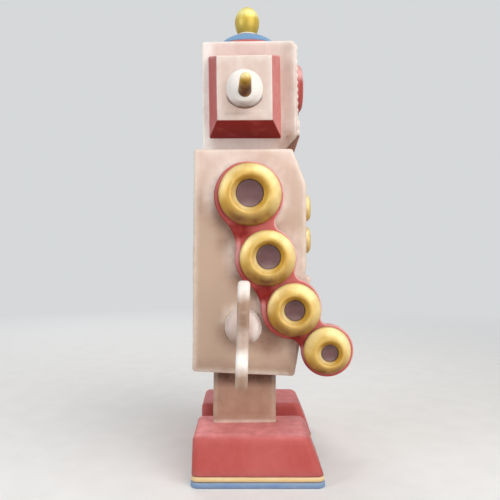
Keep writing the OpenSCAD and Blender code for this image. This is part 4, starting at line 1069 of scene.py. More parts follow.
def hollow_middle(k, web, side):
    """Middle of the arc that joins two seats, on the front (1) or the back (-1) of the arm."""
    gap = seat_spots[k + 1] - seat_spots[k]
    along = gap.normalized()
    first, second = seat_radii[k] + web, seat_radii[k + 1] + web
    ahead = (gap.length_squared + first ** 2 - second ** 2) / (2 * gap.length)
    return seat_spots[k] + along * ahead + along.orthogonal() * side * math.sqrt(first ** 2 - ahead ** 2)


back = [hollow_middle(k, BACK_WEB[k], -1) for k in range(3)]
front = [hollow_middle(k, FRONT_WEB[k], 1) for k in range(3)]


def arm_outline(inset=0.0):
    """The arm's outline, drawn in: down its back edge and up its front one."""
    def seat_arc(k, before, after):
        spot = seat_spots[k]
        return arc_points(spot, seat_radii[k] - inset, way_to(spot, before), way_to(spot, after), 1, 0.0)

    def hollow_arc(middle, web, first, second):
        start, end = way_to(middle, seat_spots[first]), way_to(middle, seat_spots[second])
        return arc_points(middle, web + inset, start, end, -1, -0.6)

    loop = seat_arc(0, front[0], back[0])
    for k in range(3):
        loop += hollow_arc(back[k], BACK_WEB[k], k, k + 1)
        loop += seat_arc(k + 1, back[k], back[k + 1] if k < 2 else front[2])
    for k in (2, 1, 0):
        loop += hollow_arc(front[k], FRONT_WEB[k], k + 1, k)
        loop += seat_arc(k, front[k], front[k - 1]) if k else []
    return loop


print("arm outline of", len(arm_outline()), "points")

# %% Arm trays
ARM_EDGE = 1.5
ARM_GRID = 1.7

floor_at = arm_high.y - arm_low.y - TIN
tray_layers = [(floor_at, 3.0, 0.0, False), (floor_at, 1.2, 0.0, False), (floor_at - 0.4, TIN, 0.0, True),
               (0.3, TIN, 0.2, True), (0.0, TIN - 0.2, 0.6, True), (0.0, 0.2, 0.8, True),
               (0.25, 0.0, 0.6, True), (1.2, 0.0, 0.1, True), (2.4, 0.0, 0.1, True)]
tray_layers += soft_end(floor_at + TIN, -1, ARM_EDGE, ((0.6, 0.3), (1.4, 0.0)))[::-1]


def web_place(flat):
    """How far a point is in the hollow between two seats, 0 to 1, and how far to the front of it, in mm."""
    gaps = [(flat - spot).length - radius for spot, radius in zip(ring_spots, RING_R)]
    nearness = [gaps[k] + gaps[k + 1] - RING_GAP[k] for k in range(3)]
    k = nearness.index(min(nearness))
    along = (ring_spots[k + 1] - ring_spots[k]).normalized()
    away = flat - ring_spots[k] - along * (RING_R[k] + RING_GAP[k] / 2)
    down = away.dot(along)
    return ease(down, 5.5, 1.5) * ease(-down, 7.5, 3.5), away.dot(along.orthogonal())


def arm_rule(p, wear, wash):
    """Painted shade, deep red, on the back and lower edge, deep in the tray and in the hollows under each
    ring;
    painted highlights, pale, on the front edge and the rear rims.
    """
    flat = from_side(p)
    pulls = [(flat - spot).normalized() / (flat - spot).length ** 6 for spot in seat_spots]
    outward = sum(pulls, Vector((0.0, 0.0))).normalized()
    facing = toward(outward, 0.77, 0.64)
    on_top = abs(p.y) > arm_high.y - 0.3
    in_web, ahead = web_place(flat)
    # Painted shade deep in the tray, on the back and lower edge and in the hollows under each ring; painted
    # highlights on the front edge and on the rear rims of the seats.
    inner = 0.5 * ease(abs(p.y), arm_low.y + 2.5, arm_low.y)
    rim = (0.35 if on_top else 0.8) * ease(-facing, -0.1, 0.8) * (1 - in_web)
    near_edge = min(wear / 0.3, 1.0) if on_top else 1.0
    rear_rim = (1 - in_web) * near_edge * ease(toward(outward, -0.87, 0.5), 0.4, 1.0)
    rear_rim *= 0.8 - 0.6 * ease(p.z, shoulder.z - 24, shoulder.z - 10)
    front_rim = 1.5 * max(wear, 0.8) * ease(facing, 0.0, 0.7)
    hollow = in_web * ease(-ahead, 2.0, 7.0)
    return max(0.1 * front_rim if on_top else front_rim, rear_rim), max(rim, hollow, inner)


for side_name, side in SIDES:
    tray = new_shape()
    lofted(tray, arm_outline, tray_layers, on_side(0.0, 0.0, arm_low.y, side))
    bmesh.ops.recalc_face_normals(tray, faces=tray.faces)
    score(tray, 2, arm_low.z + 5, arm_high.z - 5, ARM_GRID)
    score(tray, 0, shoulder.x - 10, shoulder.x + 45, ARM_GRID)
    repaint(tray, arm_rule)
    for point in tray.verts:
        point.co.x, point.co.z = hung(from_side(point.co), side)
    make_piece("arm_tray_" + side_name, tray, "red_paint", "arm_" + side_name, "arm_" + side_name)

# %% [markdown]
# ## Discs in the rings
# A mauve disc sits in every ring, slightly dished, with a line of painted shade where it meets the gold. A
# lathe profile from the middle to the rim gives the dish; the dial faces on the chest are made the same way.

# %% Discs
DISC_FIT = 0.06


def dish_profile(radius, height):
    """A shallow dish with a rim, from below to the middle of its top."""
    # The rim is darker where the disc meets the gold: painted shade.
    return [(0.0, 0.0, 0.0, 0.0), (radius, 0.0, 0.0, 0.3), (radius, height * 0.9, 0.0, 0.6),
            (radius - 0.25, height, 0.3, 0.3), (radius - 0.8, height - 0.15, 0.1, 0.15),
            (radius * 0.6, height - 0.4, 0.0, 0.0), (radius * 0.25, height - 0.5, 0.0, 0.0),
            (0.0, height - 0.5, 0.0, 0.0)]


for side_name, side in SIDES:
    discs = new_shape()
    spots = [(hung(spot, side), hole) for spot, hole in zip(hole_spots, RING_HOLE)]
    for spot, hole in spots:
        turned(discs, dish_profile(hole - DISC_FIT, RING_SKIRT), on_side(*spot, arm_high.y, side), 48)

    def disc_rule(p, wear, wash):
        """Painted shade under the ring's upper edge, and a painted highlight at the lower one."""
        spot, hole = min(spots, key=lambda disc: (from_side(p) - disc[0]).length)
        rise = (p.z - spot.y) / hole
        return max(wear, 0.7 * ease(-rise, 0.3, 1.0)), max(wash, 0.6 * ease(rise, 0.1, 1.0))

    repaint(discs, disc_rule)
    make_piece("mauve_discs_" + side_name, discs, "mauve_paint", "arm_" + side_name, "arm_discs_" + side_name)

# %% [markdown]
# ## Chest panel and dials
# The chest carries a flat panel with four dials, two above two. The photograph shows the bezels of the near
# pair edge on, standing out in front of the chest. The panel is a soft solid with a thin edge, the bezels
# come from the ring tree turned to face forward, and the dial faces are dished discs.

# %% Chest
DIAL_R = 7.1
DIAL_HOLE = 3.3
DIAL_SKIRT = 1.5
DIAL_SIDE = 19.0
DIAL_DROP = 11.5
DIAL_PITCH = 17.2
DIAL_CREST = 0.5
# The bezels take less painted shade than the arms' rings.
DIAL_SHADING = 0.3


def front_box(low, high):
    """The rectangle that a piece fills when it is seen from the front."""
    return box_corners(low.y, low.z, high.y, high.z)


panel = new_shape()
lofted(panel, rounded_outline(front_box(panel_low, panel_high), 3.0),
       soft_layers(0.0, panel_high.x - panel_low.x, 0.1, 0.5), on_front(panel_low.x))
make_piece("chest_plate", panel, "body_paint", "trunk", "chest_panel")
dial_spots = [(panel_high.x, y, panel_high.z - DIAL_DROP - row * DIAL_PITCH)
              for row in (0, 1) for y in (-DIAL_SIDE, DIAL_SIDE)]
seats = seat_mesh("dial_seats", dial_spots, outer=[DIAL_R * MM] * 4, hole=[DIAL_HOLE * MM] * 4)
bezels = grown("dial_rings", seats, ring_tree, Skirt=DIAL_SKIRT * MM, Across=(0, -1, 0), Up=(0, 0, 1),
               Out=(1, 0, 0), Crest=DIAL_CREST, Spray=DIAL_SHADING, Material=finishes["gold_paint"])
hand_over(bezels, "trunk", "gold_paint", "dial_bezels")
faces = new_shape()
for spot in dial_spots:
    turned(faces, dish_profile(DIAL_HOLE - DISC_FIT, DIAL_SKIRT), on_front(*spot), 40)
make_piece("dial_discs", faces, "mauve_paint", "trunk", "dial_faces")

# %% [markdown]
# ## Winding key and its boss
# The key is a butterfly of two round wings with a notch between them, seen edge on in the photograph, so
# the shape of the wings is what such keys have. It turns on an arbor that comes out of a stepped boss.
# The wings' outline is arcs again. Each flat side has a round hollow pressed in every wing: a flat face
# with holes can't be a plain loft, so Blender fills it between the loops, and the hollows are skinned in.

# %% Key boss
BOSS_BORE = 2.06
BOSS_STEP = 1.5

boss_low, boss_high = corners_of("key_boss")
boss_r = (boss_high.x - boss_low.x) / 2
boss_h = boss_high.y - boss_low.y
boss_profile = [(BOSS_BORE, 0.0, 0.0, 0.0), (boss_r - 0.1, 0.0, 0.0, 0.6), (boss_r, 0.3, 0.1, 0.5),
                (boss_r - 0.05, 0.9, 0.3, 0.1), (boss_r - 0.4, 1.3, 0.4, 0.1), (boss_r - 0.8, 1.4, 0.1, 0.5)]
boss_profile += [(2.6 + (boss_r - 3.5) * c, BOSS_STEP + (boss_h - BOSS_STEP) * s, 0.15, 0.0)
                 for c, s in quarter(8)]
boss_profile += [(BOSS_BORE, boss_h - 0.3, 0.0, 0.2), (BOSS_BORE, 0.0, 0.0, 0.8)]
boss = new_shape()
turned(boss, boss_profile, on_side(*from_side(key_axis), -boss_high.y, -1))
# Painted highlight on the boss's front side; painted shade under it and where it steps in.
repaint(boss, lambda p, wear, wash: (max(wear, 1.2 * ease(p.x - key_axis.x, 3, 7)),
                                     max(wash, 0.8 * ease(key_axis.z - p.z, 0, 8))))
make_piece("key_boss_cap", boss, "cream_paint", "trunk", "key_boss")

# %% Key outline
LOBE_R = 9.8
NOTCH_R = 8.0
KEY_SPAN = 49.4
KEY_TURN = 1.5

key_low, key_high = corners_of("key")
lobe_out = -key_low.y - LOBE_R
lobe_up = KEY_SPAN / 2 - LOBE_R
key_back = lobe_out - LOBE_R
upper = Vector((lobe_out, lobe_up))
lower = Vector((lobe_out, -lobe_up))
notch = Vector((lobe_out + math.sqrt((LOBE_R + NOTCH_R) ** 2 - lobe_up ** 2), 0.0))
turn = Matrix.Rotation(math.radians(KEY_TURN), 3, "Y")


def key_outline(inset=0.0):
    """Round the lower wing, in through the notch, round the upper wing and down the straight back."""
    loop = arc_points(lower, LOBE_R - inset, math.pi, way_to(lower, notch), 1, 0.0)
    loop += arc_points(notch, NOTCH_R + inset, way_to(notch, lower), way_to(notch, upper), -1, -0.3)
    loop += arc_points(upper, LOBE_R - inset, way_to(upper, notch), math.pi, 1, 0.0)
    return loop + [(key_back + inset, lobe_up * (1 - k / 6), 0.0) for k in range(13)]


def on_key(out, up, depth):
    """A point of the upright key, turned on its arbor."""
    leaned = turn @ Vector((depth, 0.0, up))
    return (key_axis.x + leaned.x, -out, key_axis.z + leaned.z)


print("key of", KEY_SPAN, "mm, drawn with", len(key_outline()), "points")

# %% Winding key
KEY_THICK = 5.6
KEY_EDGE = 1.7
DISH_R = 7.4
DISH_DEEP = 0.9
DISH_AROUND = 48
BARREL_R = 2.75

key = new_shape()
half_key = KEY_THICK / 2
key_layers = [layer for layer in soft_layers(-half_key, half_key, KEY_EDGE, KEY_EDGE, ()) if layer[3]]
lofted(key, key_outline, key_layers, on_key, cap_low=False, cap_high=False)
dish = [(DISH_R, 0.0, 0.4, 0.0), (DISH_R - 0.5, 0.25, 0.0, 0.0), (DISH_R - 0.8, DISH_DEEP, 0.0, 0.4),
        (2.0, DISH_DEEP, 0.0, 0.0), (0.0, DISH_DEEP, 0.0, 0.0)]
for face_side in (-1, 1):
    loops = [[key.verts.new(on_key(u, v, face_side * half_key)) for u, v, near in key_outline(KEY_EDGE)]]
    for wing in (upper, lower):
        first = len(key.verts)
        turned(key, dish, lambda u, v, w: on_key(wing.x + u, wing.y + v, face_side * (half_key - w)),
               DISH_AROUND, cap_low=False)
        key.verts.ensure_lookup_table()
        loops.append(key.verts[first:first + DISH_AROUND])
    edges = []
    for loop in loops:
        for pair in zip(loop, loop[1:] + loop[:1]):
            edges.append(key.edges.get(pair) or key.edges.new(pair))
    bmesh.ops.triangle_fill(key, use_beauty=True, use_dissolve=False, edges=edges)
bmesh.ops.remove_doubles(key, verts=key.verts, dist=SAME_SPOT)
barrel = -key_high.y
barrel_profile = [(0.0, barrel, 0.0, 0.3), (BARREL_R - 0.4, barrel, 0.0, 0.5),
                  (BARREL_R, barrel + 0.4, 0.6, 0.3), (BARREL_R, barrel + 2, 0.1, 0.1),
                  (BARREL_R, key_back + 1.5, 0.0, 0.4), (0.0, key_back + 2.0, 0.0, 0.4)]
turned(key, barrel_profile, lambda u, v, w: on_key(w, v, u), 40)


def key_rule(p, wear, wash):
    """Painted shade, tan, on the underside of each wing's rim, and painted highlights on the upper sides."""
    up = p.z - key_axis.z
    under_upper = ease(lobe_up + 6.2 - up, 0, 6) * (1 - 0.3 * ease(-up, -9, 0)) * ease(up, -9, -4)
    under_lower = ease(-lobe_up - up, -4, 4)
    on_rim = ease(math.hypot(-p.y - lobe_out, abs(up) - lobe_up), LOBE_R - 2.6, LOBE_R - 1.6)
    darkening = (0.25 + 0.95 * on_rim) * max(under_upper, under_lower)
    low_wing = ease(up, -lobe_up, -lobe_up + 4) * ease(up, -4, -9)
    bright = max(ease(up, lobe_up + 4, lobe_up + 8), low_wing)
    return max(wear * (1 - 0.75 * min(darkening, 1.0)), 1.5 * bright), max(wash, darkening)


repaint(key, key_rule)
make_piece("winding_key", key, "key_paint", "key", "key")

# %% [markdown]
# ## Legs
# The legs are square tubes painted a browner tone, darkest under the body: painted shadow of the body, partly
# airbrushed brown. Each is a soft solid standing on its foot. Above the tube, inside the body, a slotted
# lever takes the crank's pin; it is a ring between two round-ended outlines.

# %% Legs
LEVER_HALF = 4.2
LEVER_SLOT = 1.4
LEVER_ROOT = 4.0
CRANK_THROW = 3.5
LEG_WALL = 1.0
LEG_BACK = 0.5
TUBE_ABOVE_HIP = 9.0

foot_low, foot_high = corners_of("foot_shell_right")
hip = from_side(pivots["leg_right_swing"])
crank = from_side(pivots["crank_turn"])
tube_foot = foot_high.z
lever_way = way_to(hip, crank)
lever_reach = (crank - hip).length


def stadium(start, end, half):
    """A bar with round ends, laid along the lever's direction from the hip."""
    along = Vector((math.cos(lever_way), math.sin(lever_way)))
    loop = []
    for reach, quarters in ((start, 1), (end, 3)):
        angles = [lever_way + math.pi / 2 * quarters + math.pi * k / 12 for k in range(13)]
        loop += [hip + along * reach + Vector((math.cos(a), math.sin(a))) * half for a in angles]
    return loop


def leg_rule(p, wear, wash):
    """Painted shadow under the body, partly airbrushed brown; pale where it meets the foot."""
    pale_foot_line = 1.7 * ease(p.z, tube_foot + 3.0, tube_foot + 0.8)
    return max(0.4 * wear, pale_foot_line), max(wash, 0.12, ease(p.z, base_low.z - 14, base_low.z - 6))


for side_name, side in SIDES:
    leg = new_shape()
    sides = sorted((side * tube_in, side * tube_out))
    plan = box_corners(tube_x - TUBE_HALF - LEG_BACK, sides[0], tube_x + TUBE_HALF, sides[1])
    layers = soft_layers(tube_foot, hip.y + TUBE_ABOVE_HIP, 0.35, 0.35, ((1.1, 0.3), (2.8, 0.0)))
    lofted(leg, rounded_outline(plan, 1.8), layers, upright)
    score(leg, 2, tube_foot + 8, base_low.z, 3.5)
    repaint(leg, leg_rule)
    by_hand(leg)
    outer = stadium(lever_reach - CRANK_THROW - LEVER_ROOT, lever_reach + CRANK_THROW, LEVER_HALF)
    inner = stadium(lever_reach - CRANK_THROW, lever_reach + CRANK_THROW, LEVER_SLOT)
    bar = [(outer, 0.0), (outer, LEG_WALL), (inner, LEG_WALL), (inner, 0.0), (outer, 0.0)]
    rings = [[((u, side * (tube_in + depth), v), 0.2, 0.3) for u, v in outline] for outline, depth in bar]
    skin(leg, rings, False, False)
    bmesh.ops.remove_doubles(leg, verts=leg.verts, dist=SAME_SPOT)
    make_piece("leg_tube_" + side_name, leg, "leg_paint", "leg_" + side_name, "leg_" + side_name)

# %% [markdown]
# ## Feet
# Each foot is a heavy block with leaning sides, a sloping toe and a rounded top, on a cream band and a blue
# rubber sole. The sides lean by different amounts, so one outline drawn in evenly won't do: the plan is
# worked out afresh at every height between the floor's outline and the top's.

# %% Feet
FOOT_CORNER = 3.6
FOOT_TOP = 2.5
TOE_LEAN = 7.3
HEEL_LEAN = 0.2
OUT_LEAN = 2.1
IN_LEAN = 1.05
SOLE_LIP = 0.5
TRIM_EDGE = 0.9
SOLE_EDGE = 0.7
FOOT_WANDER = (0.4, 14)


def foot_rings(side, layers, grow=0.0):
    """Rings of a foot's piece at layers of (height, inset, pale, dark)."""
    rings = []
    for height, inset, paleness, darkening in layers:
        share = max((min(height, foot_high.z) - foot_low.z) / (foot_high.z - foot_low.z), 0.0)
        near = -foot_high.y + IN_LEAN * share - grow
        far = -foot_low.y - OUT_LEAN * share + grow
        sides = sorted((side * near, side * far))
        heel = foot_low.x + HEEL_LEAN * share - grow
        toe = foot_high.x - TOE_LEAN * share + grow
        plan = rounded_outline(box_corners(heel, sides[0], toe, sides[1]), FOOT_CORNER + grow)(inset)
        rings.append([((u, v, height), paleness, darkening) for u, v, edge in plan])
    return rings


def shell_layers(pale_share):
    """Layers of the block: painted shade at its foot; pale over the top's round edge and on the top, partly
    worn paint and partly painted light.
    """
    low, high = foot_low.z, foot_high.z
    # Painted shade along the block's foot, where it meets the band.
    layers = [(low, 6.0, 0.0, 0.3), (low, 0.6, 0.0, 0.6), (low + 0.15, 0.15, 0.2, 0.7),
              (low + 0.6, 0.0, 0.3, 0.35), (low + 2.0, 0.0, 0.1, 0.1), (low + 5.0, 0.0, 0.0, 0.0),
              (low + 9.0, 0.0, 0.0, 0.0), (high - FOOT_TOP - 1.6, 0.0, 0.05, 0.0)]
    for k, (c, s) in enumerate(quarter(8)):
        layers.append((high - FOOT_TOP * (1 - s), FOOT_TOP * (1 - c), 0.15 + 1.1 * ease(k, 2, 8), 0.0))
    layers += [(high, FOOT_TOP + 1.0, 1.5, 0.0), (high, FOOT_TOP + 6.0, 1.3, 0.0)]
    return [(height, inset, paleness * pale_share, darkening) for height, inset, paleness, darkening in layers]


def band_layers(low, high, edge):
    """Layers of a thin slab with rolled edges."""
    # Painted shade along both edges, where the slab meets its neighbours.
    return [(low, 5.0, 0.0, 0.2), (low, edge, 0.0, 0.5), (low + edge * 0.3, edge * 0.3, 0.2, 0.3),
            (low + edge, 0.0, 0.3, 0.1), ((low + high) / 2, 0.0, 0.0, 0.0), (high - edge, 0.0, 0.3, 0.0),
            (high - edge * 0.3, edge * 0.3, 0.6, 0.0), (high, edge, 0.5, 0.2), (high, 5.0, 0.0, 0.5)]


trim_low, trim_high = corners_of("foot_trim_right")
trim_layers = band_layers(trim_low.z, trim_high.z, TRIM_EDGE)
sole_layers = band_layers(0.0, trim_low.z, SOLE_EDGE)
for side_name, side in SIDES:
    # The far foot's top is less pale: partly paint that differs between the feet, partly painted shade from
    # the near leg.
    for name, paint, layers, grow, stands_for in (
            ("foot_block_", "foot_paint", shell_layers(1.0 if side < 0 else 0.5), 0.0, "foot_shell_"),
            ("foot_band_", "buff_paint", trim_layers, SOLE_LIP / 2, "foot_trim_"),
            ("sole_", "sole_rubber", sole_layers, SOLE_LIP, "foot_sole_")):
        block = new_shape()
        skin(block, foot_rings(side, layers, grow))
        if name != "sole_":
            by_hand(block, *FOOT_WANDER)
        make_piece(name + side_name, block, paint, "leg_" + side_name, stands_for + side_name)

# %% [markdown]
# ## Head casing and floor
# The head is a second box of the same tin, with a chin that slopes back. It is open below, where a floor
# with a round hole turns on the neck tube. The floor is a plate with a hole in it: each point of its
# rectangle has a partner on the hole's rim, and the two are skinned as one closed ring.

# %% Head
CHIN_H = 8.0
CHIN_D = 7.4
HEAD_EDGE = 1.4
BROW_EDGE = 2.6
NAPE_EDGE = 2.0

head_low, head_high = corners_of("head_shell")
head_half = head_high.y
head_side = [
    (head_low.x, head_low.z),
    (head_high.x - CHIN_D, head_low.z),
    (head_high.x, head_low.z + CHIN_H),
    (head_high.x, head_high.z),
    (head_low.x, head_high.z),
]
head = new_shape()
lofted(head, rounded_outline(head_side, [HEAD_EDGE, HEAD_EDGE, HEAD_EDGE, BROW_EDGE, NAPE_EDGE]),
       soft_layers(-head_half, head_half, HEAD_EDGE, HEAD_EDGE), across_robot)
open_up(head, lambda p: p.z < head_low.z + 0.02 and abs(p.y) < head_half - HEAD_EDGE)
score(head, 2, head_low.z + 4, head_high.z - 4, 4.0)
score(head, 0, head_low.x + 5, head_high.x - 8, 5.0)


def head_rule(p, wear, wash):
    """Darker along the bottom edge; brown towards the face and the chin, partly airbrushed and partly painted
    shade;
    pale at the back and low behind the ears: painted light where the ears' shadows fall.
    """
    over = p.z - head_low.z
    front = ease(p.x, head_high.x - 13, head_high.x - 4)
    wash = max(wash, 0.2 * ease(over, 2, 0), 0.36 * front + 0.5 * front * ease(over, 18, 4))
    if abs(p.y) > head_half - HEAD_EDGE:
        rear = 2.1 - 0.9 * over / (head_high.z - head_low.z)
        rear *= ease(p.x, head_low.x + 9, head_low.x + 3)
        wear = max(wear, rear, 0.8 * ease(over, 14, 4) * ease(p.x, 15, 6))
    if p.x > head_high.x - CHIN_D - 2 and over < CHIN_H + 1:
        wear *= 0.3
    return wear, wash


repaint(head, head_rule)
by_hand(head)
make_piece("head_casing", head, "cream_paint", "head", "head_shell", wall=TIN)

# %% Head floor
NECK_HOLE = 7.06
FLOOR_GAP = 1.3

low, high = corners_of("head_floor")
reach = head_half - EDGE - FLOOR_GAP
floor_box = box_corners(low.x + 1.2, -reach, high.x - 1.0, reach)
outer = [Vector((u, v)) for u, v, near in rounded_outline(floor_box, 1.5)()]
hole = [p.normalized() * NECK_HOLE for p in outer]
stack = [(outer, low.z), (outer, high.z), (hole, high.z), (hole, low.z), (outer, low.z)]
plate = new_shape()
skin(plate, [[((p.x, p.y, z), 0.2, 0.3) for p in loop] for loop, z in stack], False, False)
bmesh.ops.remove_doubles(plate, verts=plate.verts, dist=SAME_SPOT)
make_piece("head_floor_plate", plate, "cream_paint", "head", "head_floor")

# %% [markdown]
# ## Face
# The photograph shows the face from its edge: a plate with a row of beads up each side, red domed eye rims,
# a cream mouth block and a brown jaw under it. What the front looks like is a guess in their style.
# The beads are copies on points again, and the mouth's bars are copies along a line, both by Geometry Nodes.

# %% Face plate and beads
FACE_DEEP = 1.3
FACE_MARGIN = 0.3
BEAD_R = 1.0
BEAD_RISE = 0.55
BEAD_PITCH = 3.6
BEAD_INSET = 1.4

face_low, face_high = corners_of("face_plate")
face_half = head_half - FACE_MARGIN
plate = new_shape()
lofted(plate, rounded_outline(box_corners(-face_half, face_low.z, face_half, face_high.z), 1.2),
       soft_layers(-FACE_DEEP, face_high.x - face_low.x, 0.05, 0.3), on_front(face_low.x))
repaint(plate, lambda p, wear, wash: (wear, max(wash, 0.25 * ease(p.z, face_low.z + 14, face_low.z))))
make_piece("face_sheet", plate, "cream_paint", "head", "face_plate")

bead_half = face_high.y - BEAD_INSET
bead_top = face_high.z - BEAD_INSET
beads_up = int((bead_top - face_low.z - BEAD_INSET) / BEAD_PITCH)
beads_over = math.ceil(2 * bead_half / BEAD_PITCH)
bead_spots = [(y, bead_top - k * BEAD_PITCH) for y in (-bead_half, bead_half) for k in range(beads_up + 1)]
bead_spots += [(bead_half * (2 * k / beads_over - 1), bead_top) for k in range(1, beads_over)]
tree, inputs = geometry_tree("bead_row", Radius="Float", Rise="Float", Material="Material")
ball = add_node(tree, "GeometryNodeMeshUVSphere", 14, 10, 1.0)
size = add_node(tree, "ShaderNodeCombineXYZ", inputs["Rise"], inputs["Radius"], inputs["Radius"])
bead = add_node(tree, "GeometryNodeTransform", ball, Scale=size)
close_tree(tree, copied(tree, inputs["Geometry"], bead), inputs["Material"])
seats = seat_mesh("bead_seats", [(face_high.x, y, z) for y, z in bead_spots])
beads = grown("face_beads", seats, tree, Radius=BEAD_R * MM, Rise=BEAD_RISE * MM,
              Material=finishes["white_paint"])
hand_over(beads, "head", "white_paint", "face_rivets")

# %% Eyes
EYE_R = 12.6
EYE_RISE = 3.8
EYE_SINK = 1.2
EYE_CREST = 8.2
EYE_OPEN = 7.2
EYE_SIDE = 14.0
LENS_RISE = 3.0

rim_low, rim_high = corners_of("eye_rims")
eye_z = (rim_low.z + rim_high.z) / 2 - EYE_SINK


def dome_height(radius, base, top):
    """Height, at a radius, of a ball's cap with this base and top."""
    ball = (base ** 2 + top ** 2) / (2 * top)
    return top - ball + math.sqrt(ball ** 2 - radius ** 2)


rim_profile = [(EYE_OPEN, 0.0, 0.0, 0.5), (EYE_R - 0.1, 0.0, 0.0, 0.6), (EYE_R, 0.4, 0.2, 0.5),
               (EYE_R, 1.0, 0.2, 0.1)]
for k, (c, s) in list(enumerate(quarter(10)))[1:]:
    rim_profile.append((EYE_CREST + (EYE_R - EYE_CREST) * c, 1.0 + (EYE_RISE - 1.0) * s,
                        0.25 * (k > 6), 0.5 * (k < 6)))
rim_profile += [(EYE_OPEN + 0.35, EYE_RISE - 0.2, 0.5, 0.0), (EYE_OPEN, EYE_RISE - 0.7, 0.3, 0.2),
                (EYE_OPEN, 0.0, 0.0, 0.7)]
lens_r = EYE_OPEN - DISC_FIT
lens_profile = [(0.0, 0.0, 0.0, 0.0), (lens_r, 0.0, 0.0, 0.4)]
for k in range(9):
    radius = lens_r * (1 - k / 8)
    lens_profile.append((radius, dome_height(radius, lens_r, LENS_RISE), 0.0, 0.25 * (k < 2)))
rims = new_shape()
lenses = new_shape()
for y in (-EYE_SIDE, EYE_SIDE):
    turned(rims, rim_profile, on_front(rim_low.x, y, eye_z))
    turned(lenses, lens_profile, on_front(rim_low.x, y, eye_z), 56)
repaint(rims, lambda p, wear, wash: (max(wear, 1.3 * ease(p.z - eye_z, 0, 5)),
                                     max(wash, 0.5 * ease(eye_z - p.z, 3, 11))))
make_piece("eye_cups", rims, "red_paint", "head", "eye_rims")
make_piece("eye_domes", lenses, "white_paint", "head", "eye_lenses", slot="eye_white")

# %% Mouth
MOUTH_FRAME = 2.0
MOUTH_SLOTS = 9
SLOT_SHADE = 2.5

mouth_low, mouth_high = corners_of("mouth_grille")
mouth_t = mouth_high.x - mouth_low.x
mouth_z = (mouth_low.z + mouth_high.z) / 2
recess = mouth_t / 2
mouth_layers = [
    (0.0, 3.0, 0.0, False), (0.0, 0.1, 0.0, True), (0.1, 0.0, 0.2, True), (mouth_t - 0.45, 0.0, 0.3, True),
    (mouth_t - 0.15, 0.15, 0.8, True), (mouth_t, 0.5, 0.6, False), (mouth_t, MOUTH_FRAME - 0.3, 0.4, False),
    (mouth_t - 0.15, MOUTH_FRAME, 0.3, False), (recess, MOUTH_FRAME + 0.05, 0.0, False),
    (recess, MOUTH_FRAME + 0.6, 0.0, False)]
mouth = new_shape()
lofted(mouth, rounded_outline(front_box(mouth_low, mouth_high), 1.6), mouth_layers, on_front(mouth_low.x))


def mouth_rule(p, wear, wash):
    """Painted shade at the back of the slots."""
    in_slot = p.x < mouth_low.x + recess + 0.02 and abs(p.z - mouth_z) < SLOT_SHADE
    return wear, max(wash, 0.8 * in_slot)


repaint(mouth, mouth_rule)
make_piece("mouth_block", mouth, "cream_paint", "head", "mouth_grille")

mouth_pitch = 2 * (mouth_high.y - MOUTH_FRAME) / MOUTH_SLOTS
bar_half = mouth_pitch / 4
bar_tall = (mouth_high.z - mouth_low.z) / 2 - MOUTH_FRAME + 0.1
bar = new_shape()
lofted(bar, rounded_outline(box_corners(-bar_half, -bar_tall, bar_half, bar_tall), 0.3),
       soft_layers(recess - 0.05, mouth_t, 0.02, 0.25, ((0.4, 0.2),)), on_front(0.0))
bar_pattern = bpy.data.objects.new("bar_pattern", meshed("bar_pattern", bar))
tree, inputs = geometry_tree("mouth_bars", Pattern="Object", Count="Int", Pitch="Vector", Material="Material")
pattern = add_node(tree, "GeometryNodeObjectInfo", Object=inputs["Pattern"], As_Instance=True,
                   pick="Geometry")
line = add_node(tree, "GeometryNodeMeshLine", Count=inputs["Count"], Offset=inputs["Pitch"])
points = add_node(tree, "GeometryNodeRealizeInstances", copied(tree, inputs["Geometry"], line))
close_tree(tree, copied(tree, points, pattern), inputs["Material"])
first_bar = (mouth_low.x, mouth_low.y + MOUTH_FRAME + mouth_pitch, mouth_z)
bars = grown("mouth_bars", seat_mesh("bar_seat", [first_bar]), tree, Pattern=bar_pattern,
             Count=MOUTH_SLOTS - 1, Pitch=(0.0, mouth_pitch * MM, 0.0), Material=finishes["cream_paint"])
bpy.data.objects.remove(bar_pattern)
hand_over(bars, "head", "cream_paint")

# %% Jaw
JAW_LEAN = 3.0
JAW_RISE = 0.2
JAW_BACK = 0.8

jaw_low, jaw_high = corners_of("jaw")
jaw_top = jaw_high.z + JAW_RISE
jaw_side = [(jaw_low.x, jaw_low.z), (jaw_high.x - JAW_LEAN, jaw_low.z), (jaw_high.x, jaw_top),
            (head_high.x - JAW_BACK, jaw_top)]
jaw = new_shape()
lofted(jaw, rounded_outline(jaw_side, [0.3, 0.6, 0.4, 0.2]),
       soft_layers(jaw_low.y, jaw_high.y, 0.3, 0.3, ((0.2, 0.2),)), across_robot)
make_piece("jaw_wedge", jaw, "brown_paint", "head", "jaw")

# %% [markdown]
# ## Ears
# Each ear is a block with leaning sides, red on the slopes and cream on its flat end, with a white dome and
# a gold rod. The slopes lean in evenly, so the outline is drawn in steadily towards the end, and the edge
# is rolled at the last. Two paints go on one mesh: each strip of faces is told which one it takes.

# %% Ear blocks
EAR_BEVEL = 5.1
EAR_ROLL = 0.9
EAR_FOOT = 0.9

